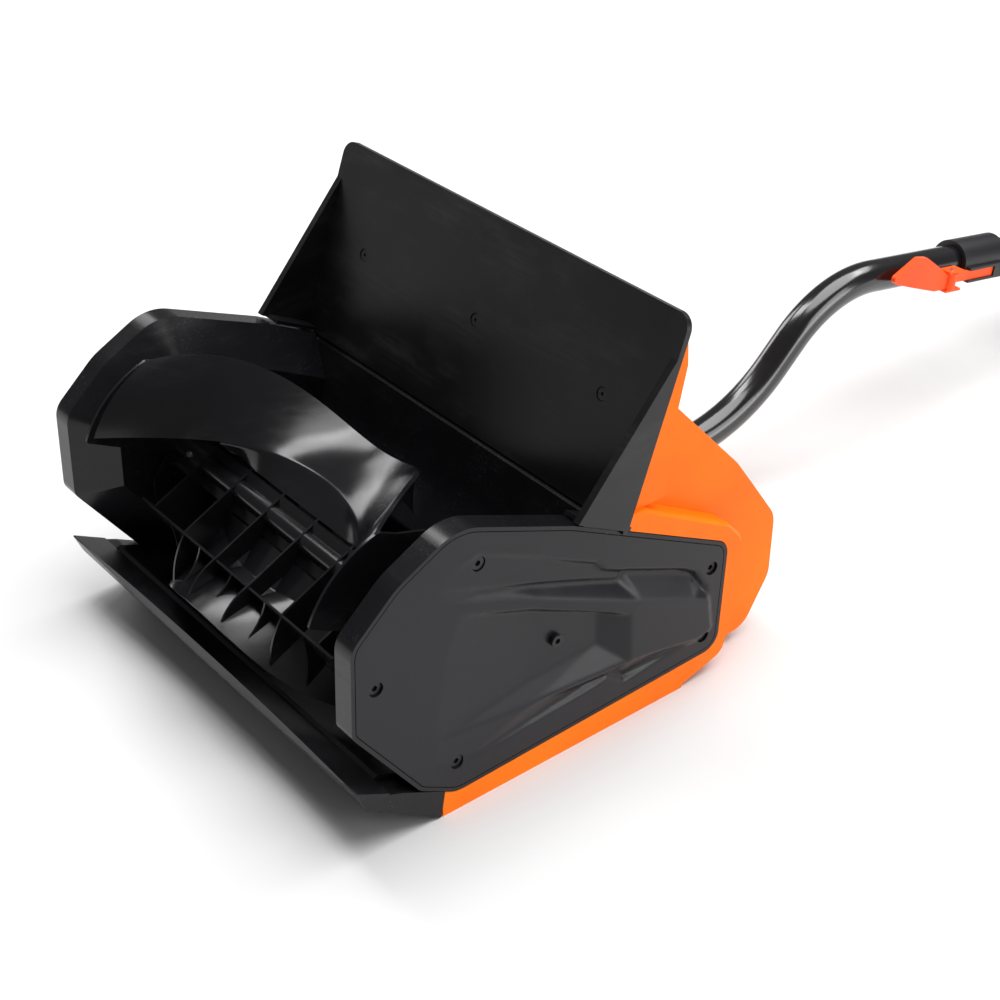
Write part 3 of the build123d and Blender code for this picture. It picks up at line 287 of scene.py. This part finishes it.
def temporary(name, bm):
    """An object that only lives until its mesh has been used."""
    mesh = bpy.data.meshes.new(name)
    bm.to_mesh(mesh)
    bm.free()
    thing = bpy.data.objects.new(name, mesh)
    scene.collection.objects.link(thing)
    return thing


def applied(thing, tools=()):
    """The mesh of a temporary object with its modifiers applied; it and its tools are removed."""
    bpy.context.view_layer.update()
    result = bpy.data.meshes.new_from_object(thing.evaluated_get(bpy.context.evaluated_depsgraph_get()))
    for done in (*tools, thing):
        bpy.data.objects.remove(done)
    return result


def combine_with(thing, tool, operation):
    """Intersect an object with a closed one, or cut that one out of it."""
    boolean = thing.modifiers.new("combine", "BOOLEAN")
    boolean.operation = operation
    boolean.solver = "EXACT"
    boolean.object = tool


def rounded(corners, drawn_in=0.0):
    """Points of a closed outline of (y, z, radius) with arcs at its corners, drawn in by a distance."""
    count = len(corners)
    area = sum(corners[i][0] * corners[(i + 1) % count][1] - corners[(i + 1) % count][0] * corners[i][1]
               for i in range(count))
    side = 1.0 if area > 0 else -1.0
    lines = []
    for i in range(count):
        a, b = Vector(corners[i][:2]), Vector(corners[(i + 1) % count][:2])
        along = (b - a).normalized()
        lines.append((a + Vector((-along.y, along.x)) * side * drawn_in, along))
    points = []
    for i in range(count):
        (p, u), (q, v) = lines[i - 1], lines[i]
        cross = u.x * v.y - u.y * v.x
        corner = p + u * (((q.x - p.x) * v.y - (q.y - p.y) * v.x) / cross)
        radius = max(corners[i][2] - drawn_in, SMALLEST_RADIUS)
        turn = math.acos(max(-1.0, min(1.0, u.dot(v))))
        reach = radius * math.tan(turn / 2)
        start = corner - u * reach
        bend = 1.0 if cross > 0 else -1.0
        centre = start + Vector((-u.y, u.x)) * radius * bend
        for k in range(ARC_STEPS + 1):
            angle = bend * turn * k / ARC_STEPS
            arm = start - centre
            points.append(centre + Vector((
                arm.x * math.cos(angle) - arm.y * math.sin(angle),
                arm.x * math.sin(angle) + arm.y * math.cos(angle),
            )))
    return points


# ------------------------------------------------------------------ side covers with their relief
SIDE = [
    (-154.5, 91.0, 10.0), (-152.5, 149.0, 16.0), (-122.0, 176.5, 40.0), (-80.0, 198.5, 34.0),
    (2.0, 165.0, 40.0), (131.0, 98.5, 14.0), (127.5, 20.0, 12.0), (-84.0, 14.0, 22.0), (-110.0, 29.0, 14.0),
]
COVER_INSET = 3.0                       # from the side housing's outline to the cover's
COVER_X, COVER_BACK_X = 165.0, 158.4
PLATE_FRONT_X, FIELD_BACK_X = COVER_X + 6.0, COVER_BACK_X - 4.0
RELIEF_STEP = 1.4
GRID_Y = [-160.0 + RELIEF_STEP * k for k in range(212)]
GRID_Z = [8.0 + RELIEF_STEP * k for k in range(140)]
RAY_START = 50.0                        # above every corner of the relief
FLAT_ANGLE = 0.4                        # degrees; grid faces that turn less are joined
CUP_R, CUP_SIDES = 4.7, 32
CUP_FLOOR_X, CUP_FRONT_X = 160.8, 170.0
# Corners of the relief: (y, z, height above the cover's outer level)
RELIEF = {
    "b0": (-86.0, 170.0, 0.0), "b1": (-65.0, 174.5, 0.0), "b2": (-18.7, 152.2, 0.0), "b3": (3.0, 140.0, 0.0),
    "b4": (20.5, 131.2, 0.0), "b5": (27.5, 123.6, 0.0), "b6": (43.8, 115.6, 0.0), "b7": (92.1, 94.8, 0.0),
    "b8": (104.0, 87.5, 0.0), "b9": (114.0, 72.0, 0.0), "c3": (117.0, 62.0, 0.0), "c4": (121.0, 37.5, 0.0),
    "t3": (107.5, 33.0, 0.0), "t1": (96.4, 34.0, 0.0), "t2": (47.0, 30.5, 0.0), "s5": (33.0, 41.0, 0.0),
    "s4": (22.9, 39.4, 0.0), "s3": (-73.7, 32.4, 0.0), "s2": (-88.4, 35.0, 0.0), "s1": (-100.0, 42.0, 0.0),
    "s0": (-107.7, 53.1, 0.0), "q1": (-98.0, 67.5, 0.0), "m0": (-90.0, 110.0, 0.0), "d0": (-80.0, 140.0, 0.0),
    "c0": (-86.0, 150.0, 0.0), "a1": (-94.5, 163.0, 0.0),
    # bottom of the step under the upper crease
    "u1": (-65.0, 173.7, -0.8), "u2": (-18.7, 151.3, -2.2), "u3": (3.0, 138.9, -2.7),
    "u4": (20.5, 129.9, -3.1), "u5": (27.0, 122.0, -3.4), "u6": (43.8, 113.8, -3.7),
    # groove: upper lip, and its bottom
    "a2": (-58.4, 148.1, -0.7), "a3": (-24.0, 135.4, -1.5), "a4": (8.3, 122.6, -2.5),
    "a5": (42.1, 108.4, -3.7), "g2": (-58.4, 147.5, -2.7), "g3": (-24.0, 134.7, -5.1),
    "g4": (8.3, 121.8, -5.9), "g5": (41.6, 107.6, -5.9),
    # ridge between groove and dish
    "c1": (-18.2, 123.1, 0.6), "c2": (57.3, 88.4, 3.1), "d1": (-25.6, 118.4, 0.6), "d2": (27.9, 92.2, 2.5),
    "d3": (47.4, 82.9, 3.1), "e1": (-25.6, 117.6, -4.2), "e2": (27.6, 91.2, -5.9),
    # dish, its rear wall and its lower wall
    "p3": (27.9, 66.6, -5.9), "p4": (49.4, 47.0, 3.1), "q2": (-28.7, 65.8, -4.1), "r1": (-95.0, 59.0, 0.0),
    "r2": (-28.5, 51.4, 0.8),
    # lower dark wall under the ridge
    "v1": (-88.4, 36.2, -0.5), "v3": (-73.7, 33.6, -1.0), "v4": (22.9, 41.0, -3.4), "v5": (34.0, 42.4, -3.7),
    # raised rear field and the facet under it
    "f3": (115.5, 63.0, 3.1), "f4": (119.3, 38.5, 3.1), "f5": (106.5, 36.0, 3.1), "w2": (47.5, 33.0, -3.7),
    "w1": (95.0, 36.0, -1.0),
    # raised block in the groove, and the groove behind it
    "k1": (46.4, 110.6, -5.8), "k2": (95.7, 88.9, -5.8), "k3": (99.8, 70.2, 3.1), "k4": (59.3, 87.5, 3.1),
    "h6": (44.5, 113.4, -5.9), "h7": (92.1, 93.2, -5.9), "h8": (102.9, 86.4, -5.9), "h9": (112.6, 72.4, -3.4),
}
RELIEF_FACES = [
    "a1 a2 u1 b0", "a2 a3 u2 u1", "a3 a4 u3 u2", "a4 a5 u5 u4 u3", "a5 u6 u5", "b0 u1 b1", "b1 u1 u2 b2",
    "b2 u2 u3 b3", "b3 u3 u4 b4", "b4 u4 u5 b5", "b5 u5 u6 b6", "a1 g2 a2", "g2 g3 a3 a2", "g3 g4 a4 a3",
    "g4 g5 a5 a4", "a5 g5 h6 u6", "u6 h6 b6", "c0 c1 g2 a1", "c1 g3 g2", "c1 c2 g4 g3", "c2 g5 g4",
    "c0 d0 d1 c1", "d1 d2 d3 c2 c1", "d0 e1 d1", "e1 e2 d2 d1", "d0 m0 q2 e1", "m0 q1 q2", "q2 p3 e2 e1",
    "e2 p3 p4 d3", "e2 d3 d2", "q1 r1 r2 q2", "q2 r2 p4 p3", "q1 s0 r1", "r1 s0 s1 v1", "s1 s2 v1",
    "r1 v1 v3 r2",
    "v1 s2 s3 v3", "r2 v3 v4", "r2 v4 v5 p4", "v3 s3 s4 v4", "v4 s4 s5 v5", "p4 v5 w2", "v5 s5 t2 w2",
    "p4 w2 w1", "p4 w1 f5", "w2 t2 t1 w1", "w1 t1 t3 f5", "c2 d3 p4 f5 f4 f3 k3 k4", "g5 c2 k4 k1",
    "g5 k1 h6",
    "k1 k4 k3 k2", "h6 k1 k2 h7", "h6 h7 b7 b6", "h7 h8 b8 b7", "k2 h8 h7", "k2 k3 h9 h8", "k3 f3 h9",
    "h8 h9 b9 b8", "h9 f3 c3 b9", "f3 f4 c4 c3", "f4 f5 t3 c4",
]
COVER_SCREWS = [
    (-137.2, 116.8), (-65.6, 168.1), (-6.4, 86.2), (-82.8, 35.9), (118.0, 84.5), (114.2, 33.7),
]


def averaged(line):
    """A line of heights, each averaged with its two neighbours."""
    last = len(line) - 1
    return [line[max(k - 1, 0)] * 0.25 + line[k] * 0.5 + line[min(k + 1, last)] * 0.25
            for k in range(len(line))]


def relief_heights():
    """Heights of the cover's face over the grid in Y and Z, with its corners rounded over."""
    bm = bmesh.new()
    verts = {key: bm.verts.new((height, y, z)) for key, (y, z, height) in RELIEF.items()}
    for names in RELIEF_FACES:
        bm.faces.new([verts[k] for k in names.split()])
    bmesh.ops.triangulate(bm, faces=bm.faces)
    tree = BVHTree.FromBMesh(bm)
    bm.free()
    heights = []
    for y in GRID_Y:
        hits = (tree.ray_cast((RAY_START, y, z), (-1.0, 0.0, 0.0))[0] for z in GRID_Z)
        heights.append([hit.x if hit else 0.0 for hit in hits])
    for _ in ("along Z", "along Y"):
        heights = list(zip(*map(averaged, heights)))
    return heights


def relief_field():
    """A closed block wider than the cover, with the relief as its outer face."""
    bm = bmesh.new()
    grid = [[bm.verts.new(((COVER_X + h) * MM, y * MM, z * MM)) for h, z in zip(line, GRID_Z)]
            for line, y in zip(relief_heights(), GRID_Y)]
    for a, b in zip(grid, grid[1:]):
        for k in range(len(GRID_Z) - 1):
            bm.faces.new((a[k], a[k + 1], b[k + 1], b[k]))
    bmesh.ops.dissolve_limit(bm, angle_limit=math.radians(FLAT_ANGLE), verts=bm.verts, edges=bm.edges)
    skirt = bmesh.ops.extrude_edge_only(bm, edges=[e for e in bm.edges if e.is_boundary])["geom"]
    for item in skirt:
        if isinstance(item, bmesh.types.BMVert):
            item.co.x = FIELD_BACK_X * MM
    bmesh.ops.contextual_create(bm, geom=[e for e in bm.edges if e.is_boundary])
    bmesh.ops.recalc_face_normals(bm, faces=bm.faces)
    return temporary("field", bm)


def cover_plate():
    """A flat plate with the cover's outline, taller than its relief."""
    bm = bmesh.new()
    ends = [[bm.verts.new((x * MM, p.x * MM, p.y * MM)) for p in rounded(SIDE, COVER_INSET)]
            for x in (COVER_BACK_X, PLATE_FRONT_X)]
    for end in ends:
        bm.faces.new(end)
    for k in range(len(ends[0])):
        m = (k + 1) % len(ends[0])
        bm.faces.new((ends[0][k], ends[0][m], ends[1][m], ends[1][k]))
    bmesh.ops.recalc_face_normals(bm, faces=bm.faces)
    return temporary("cover_plate", bm)


def screw_cup(y, z):
    """A closed cylinder along X from a screw cup's floor to in front of the cover."""
    bm = bmesh.new()
    turns = [2 * math.pi * k / CUP_SIDES for k in range(CUP_SIDES)]
    a, b = ([bm.verts.new((x * MM, (y + CUP_R * math.cos(turn)) * MM, (z + CUP_R * math.sin(turn)) * MM))
             for turn in turns] for x in (CUP_FLOOR_X, CUP_FRONT_X))
    for k in range(CUP_SIDES):
        m = (k + 1) % CUP_SIDES
        bm.faces.new((a[k], a[m], b[m], b[k]))
    bm.faces.new(a)
    bm.faces.new(b)
    bmesh.ops.recalc_face_normals(bm, faces=bm.faces)
    return temporary("cup", bm)


def cover_mesh():
    """The right cover: outer relief, side wall and flat back, with screw cups bored in."""
    field = relief_field()
    plate = cover_plate()
    combine_with(plate, field, "INTERSECT")
    cups = [screw_cup(y, z) for y, z in COVER_SCREWS]
    for cup in cups:
        combine_with(plate, cup, "DIFFERENCE")
    return applied(plate, [*cups, field])


right_mesh = cover_mesh()
left_mesh = right_mesh.copy()
left_mesh.transform(Matrix.Scale(-1, 4, (1, 0, 0)))
left_mesh.flip_normals()
for side, mesh in (("right", right_mesh), ("left", left_mesh)):
    cover = add_piece(f"cover_{side}", mesh, charcoal, "base", [f"side_cover_{side}"])
    soften_edges(cover, width=0.7, segments=3, angle=40)
    shade_smooth(mesh)

# ------------------------------------------------------------------ rotor paddles
PADDLE_HALF, END_PLATE_T, HUB_R, ROTOR_R = 124.0, 2.0, 7.4, 75.0
SKIN_T, RIB_T, TIP_RIB_T, MATE_T = 2.5, 1.5, 1.4, 2.2
CENTRE_HALF = 75.0                              # within this of the middle the skin reaches the hub
TIP_ANGLE, TIP_SWEEP = 25.3, 0.0053             # degrees, and degrees for each square millimetre
CREASE, CREASE_BOW = (27.0, 26.0), 0.0048
WING_START, WING_RUN, WING_SWEEP, WING_RISE = 50.0, 74.0, 0.0032, 3.0
CENTRE_BULGE, ADDED_BULGE, FULL_BULGE_X = -1.5, 7.5, 118.0
MATE, MATE_FOOT, MATE_TOP = (9.0, 13.0), (-8.0, -11.556), (7.9, 11.411)
KNEE, WALL_FOOT, TIP_RIB_FOOT = (42.5, 12.6), (42.8, 13.6), (43.4, 14.6)
WALL_RUN, WALL_REACH = Vector((-0.45, 0.893)), 0.85
CREASE_ROUNDING = 1.6
MATE_STEPS, ROUNDING_STEPS, FACE_STEPS = 4, 5, 16    # quads along the three parts of a face path
SKIN_STATIONS = [-PADDLE_HALF + 4.0 * k for k in range(63)]
WALL_STATIONS = [-108.0 + 12.0 * k for k in range(19)]
CROSS_RIBS, TIP_RIBS = (-92.5, -55.5, -18.5, 18.5, 55.5, 92.5), (-74.0, -37.0, 0.0, 37.0, 74.0)
RIB_BITE = 1.3                                  # how far behind the working face a rib ends
HUB_STEPS, END_PLATE_STEP = 24, 3.0
END_PLATE = [
    (-68.0, 28.5, 1.0), (-14.0, 0.6, 1.0), (14.0, 0.6, 1.0), (26.0, 18.0, 8.0), (24.0, 50.0, 12.0),
    (12.0, 60.0, 8.0), (-8.0, 66.0, 6.0), (-46.0, 84.0, 1.0), (-100.0, 60.0, 1.0),
]


def tip(x):
    """The swept tip of a paddle at x, in rotor coordinates."""
    angle = math.radians(TIP_ANGLE + TIP_SWEEP * x * x)
    return Vector((ROTOR_R * math.cos(angle), ROTOR_R * math.sin(angle)))


def heel(x):
    """The crease at x: bowed at the centre, running forward along each wing."""
    wing = max(0.0, abs(x) - WING_START)
    forward = CREASE[0] - CREASE_BOW * x * x - WING_SWEEP * wing * wing
    return Vector((forward, CREASE[1] + WING_RISE * (wing / WING_RUN) ** 2))


def on_skin(x, share, behind=0.0):
    """A point of the working face, scooped at the centre and full at the wings, moved behind it."""
    low, high = heel(x), tip(x)
    along = (high - low).normalized()
    bulge = CENTRE_BULGE + ADDED_BULGE * min(1.0, abs(x) / FULL_BULGE_X) ** 2
    square = Vector((-along.y, along.x))
    return low.lerp(high, share) + square * (bulge * 4.0 * share * (1.0 - share) - behind)


def wall_top(x):
    """Where the longitudinal rib meets the skin at x."""
    low, high = heel(x), tip(x)
    run, span, foot = WALL_RUN, high - low, Vector(WALL_FOOT) - low
    share = (foot.x * run.y - foot.y * run.x) / (span.x * run.y - span.y * run.x)
    return on_skin(x, min(share, WALL_REACH), SKIN_T * 0.6)


def under_skin(x):
    """Points inside the skin at x, from near the tip to near the crease."""
    return [on_skin(x, 0.95 - 0.1 * k, RIB_BITE) for k in range(10)]


def face_path(x):
    """The working face at x: from the mating edge round the crease and out to the tip."""
    low, high, mate = heel(x), tip(x), Vector(MATE)
    rounding = CREASE_ROUNDING / (high - low).length
    near = low.lerp(mate, CREASE_ROUNDING / (mate - low).length)
    far = on_skin(x, rounding)
    path = [mate.lerp(near, k / MATE_STEPS) for k in range(MATE_STEPS)]
    for share in (k / ROUNDING_STEPS for k in range(ROUNDING_STEPS)):
        path.append(near.lerp(low, share).lerp(low.lerp(far, share), share))
    path += [on_skin(x, rounding + (1.0 - rounding) * k / FACE_STEPS) for k in range(FACE_STEPS + 1)]
    return path


def working_face():
    """The scooped skin with its two wings, thickened backwards."""
    bm = bmesh.new()
    grid = {}
    stations = sorted({-CENTRE_HALF, CENTRE_HALF, *SKIN_STATIONS})
    above_crease = MATE_STEPS + ROUNDING_STEPS
    for x in stations:
        for row, point in enumerate(face_path(x)):
            if abs(x) <= CENTRE_HALF or row >= above_crease:
                grid[x, row] = bm.verts.new((x * MM, (AXIS_Y + point.x) * MM, (AXIS_Z + point.y) * MM))
    for a, b in zip(stations, stations[1:]):
        for row in range(above_crease + FACE_STEPS):
            keys = [(a, row), (b, row), (b, row + 1), (a, row + 1)]
            if all(key in grid for key in keys):
                bm.faces.new([grid[key] for key in keys])
    bmesh.ops.remove_doubles(bm, verts=bm.verts, dist=0.02 * MM)
    sheet = temporary("sheet", bm)
    shade_smooth(sheet.data)
    thick = sheet.modifiers.new("thick", "SOLIDIFY")
    thick.thickness = SKIN_T * MM
    thick.offset = -1.0
    return applied(sheet)


def prism(bm, corners, x0, x1):
    """Add a closed flat plate across X with an outline in rotor coordinates."""
    ends = []
    for x in (x0, x1):
        ends.append([bm.verts.new((x * MM, (AXIS_Y + y) * MM, (AXIS_Z + z) * MM)) for y, z in corners])
    faces = [bm.faces.new(ends[0]), bm.faces.new(ends[1])]
    for k in range(len(corners)):
        m = (k + 1) % len(corners)
        faces.append(bm.faces.new((ends[0][k], ends[0][m], ends[1][m], ends[1][k])))
    bmesh.ops.recalc_face_normals(bm, faces=faces)


def wall(bm, low_line, high_line, stations, thickness):
    """Add a closed thin wall between two lines that are functions of x."""
    loops = []
    for x in stations:
        low, high = Vector(low_line(x)), Vector(high_line(x))
        along = (high - low).normalized()
        back = Vector((along.y, -along.x)) * thickness
        loops.append([bm.verts.new((x * MM, (AXIS_Y + q.x) * MM, (AXIS_Z + q.y) * MM))
                      for q in (low, high, high + back, low + back)])
    faces = [bm.faces.new(loops[0]), bm.faces.new(loops[-1])]
    for a, b in zip(loops, loops[1:]):
        for k in range(4):
            m = (k + 1) % 4
            faces.append(bm.faces.new((a[k], a[m], b[m], b[k])))
    bmesh.ops.recalc_face_normals(bm, faces=faces)


def arc(a, b, sag, steps=8):
    """Points strictly between a and b on a shallow curve that sags to the left of a to b."""
    a, b = Vector(a), Vector(b)
    side = Vector((a.y - b.y, b.x - a.x)).normalized() * sag
    return [a.lerp(b, k / steps) + side * 4 * (k / steps) * (1 - k / steps) for k in range(1, steps)]


def add_ribs(bm):
    """Add the deep ribs square to the shaft, and the small ones out to the tip."""
    front = (-MATE[0], -MATE[1])
    for x in CROSS_RIBS:
        under = under_skin(x)
        if abs(x) > CENTRE_HALF:
            outline = [front, KNEE, *arc(KNEE, under[0], 3.0), *under, (8.6, 10.5)]
        else:
            outline = [front, KNEE, *arc(KNEE, under[0], -3.0), *under[:6], (10.2, 13.2)]
        prism(bm, outline, x - RIB_T / 2, x + RIB_T / 2)
    for x in TIP_RIBS:
        top = wall_top(x)
        under = [point for point in under_skin(x) if point.x > top.x]
        outline = [TIP_RIB_FOOT, *arc(TIP_RIB_FOOT, under[0], 3.0), *under, (top.x + 0.2, top.y)]
        prism(bm, outline, x - TIP_RIB_T / 2, x + TIP_RIB_T / 2)


def add_end_plates(bm):
    """Add the two end plates, with their outline kept inside the rotor's circle."""
    plate = rounded(END_PLATE)
    dense = []
    for k, point in enumerate(plate):
        after = plate[(k + 1) % len(plate)]
        parts = max(1, round((after - point).length / END_PLATE_STEP))
        dense += [point.lerp(after, m / parts) for m in range(parts)]
    clipped = [p * min(1.0, ROTOR_R / p.length) for p in dense]
    for side in (-1, 1):
        prism(bm, clipped, side * PADDLE_HALF, side * (PADDLE_HALF + END_PLATE_T))


def paddle_mesh():
    """One moulded half of the rotor: skin and wings, ribs, half a hub and the end plates."""
    bm = bmesh.new()
    face = working_face()
    bm.from_mesh(face)
    bpy.data.meshes.remove(face)
    wall(bm, lambda x: WALL_FOOT, wall_top, WALL_STATIONS, RIB_T)
    wall(bm, lambda x: MATE_FOOT, lambda x: MATE_TOP, [-PADDLE_HALF, PADDLE_HALF], MATE_T)
    start = math.atan2(MATE[1], MATE[0])
    turns = [start - math.pi * k / HUB_STEPS for k in range(HUB_STEPS + 1)]
    prism(bm, [(HUB_R * math.cos(turn), HUB_R * math.sin(turn)) for turn in turns], -PADDLE_HALF, PADDLE_HALF)
    add_ribs(bm)
    add_end_plates(bm)
    mesh = bpy.data.meshes.new("paddle")
    bm.to_mesh(mesh)
    bm.free()
    return mesh


first_half = paddle_mesh()
second_half = first_half.copy()
axis = Vector((0.0, AXIS_Y * MM, AXIS_Z * MM))
second_half.transform(Matrix.Translation(axis) @ Matrix.Rotation(math.pi, 4, "X") @ Matrix.Translation(-axis))
for name, mesh in (("paddle_a", first_half), ("paddle_b", second_half)):
    paddle = add_piece(f"{name}_moulding", mesh, rotor_black, "rotor", [name])
    mesh.set_sharp_from_angle(angle=math.radians(38))
    shade_smooth(mesh)
    soften_edges(paddle, width=0.5, segments=2, angle=50)

# ------------------------------------------------------------------ floor and light, in metres
FLOOR_HALF = 9.0
FLOOR_TONES = (0.62, 0.62, 0.62), (0.64, 0.64, 0.64)

floor_corners = [(x * FLOOR_HALF, y * FLOOR_HALF, 0) for x, y in ((-1, -1), (1, -1), (1, 1), (-1, 1))]
floor_mesh = bpy.data.meshes.new("floor")
floor_mesh.from_pydata(floor_corners, [], [(0, 1, 2, 3)])
floor = bpy.data.objects.new("floor", floor_mesh)
scene.collection.objects.link(floor)
floor_look = Nodes("floor_look")
floor_tone = floor_look.mix(floor_look.ramp(floor_look.noise(3.0), 0.3, 0.7), *FLOOR_TONES)
floor_look.link(floor_tone, floor_look.shader.inputs["Base Color"])
floor_look.shader.inputs["Roughness"].default_value = 0.9
floor_mesh.materials.append(floor_look.material)

world = bpy.data.worlds.new("studio")
scene.world = world
world.use_nodes = True
background = world.node_tree.nodes["Background"]
background.inputs["Color"].default_value = (1.0, 1.0, 1.0, 1.0)
background.inputs["Strength"].default_value = 0.16


def add_lamp(lamp, facing):
    """Put a lamp in the scene, turned to face along a direction."""
    holder = bpy.data.objects.new(lamp.name, lamp)
    scene.collection.objects.link(holder)
    holder.rotation_euler = facing.to_track_quat("-Z", "Y").to_euler()
    return holder


def area_light(name, place, target, size_x, size_y, power):
    """A soft rectangular lamp aimed at a point."""
    lamp = bpy.data.lights.new(name, "AREA")
    lamp.shape = "RECTANGLE"
    lamp.size = size_x
    lamp.size_y = size_y
    lamp.energy = power
    add_lamp(lamp, Vector(target) - Vector(place)).location = place


area_light("band_box", (-0.95, 0.0, 2.1), (-0.03, -0.05, 0.15), 0.5, 1.3, 19.0)
area_light("left_box", (-1.9, 0.25, 0.95), (0.0, 0.0, 0.12), 0.6, 1.0, 9.0)
area_light("back_box", (0.1, 1.7, 1.5), (0.0, 0.0, 0.15), 1.0, 0.5, 9.0)
area_light("right_box", (1.75, 1.0, 0.85), (0.1, 0.0, 0.1), 1.0, 0.7, 9.0)
area_light("low_box", (1.95, 1.05, 0.34), (0.1, 0.0, 0.1), 1.3, 0.5, 11.0)
overhead = bpy.data.lights.new("overhead", "SUN")
overhead.energy = 3.7
overhead.angle = math.radians(55.0)
add_lamp(overhead, Vector((-0.12, -0.28, -1.0)))
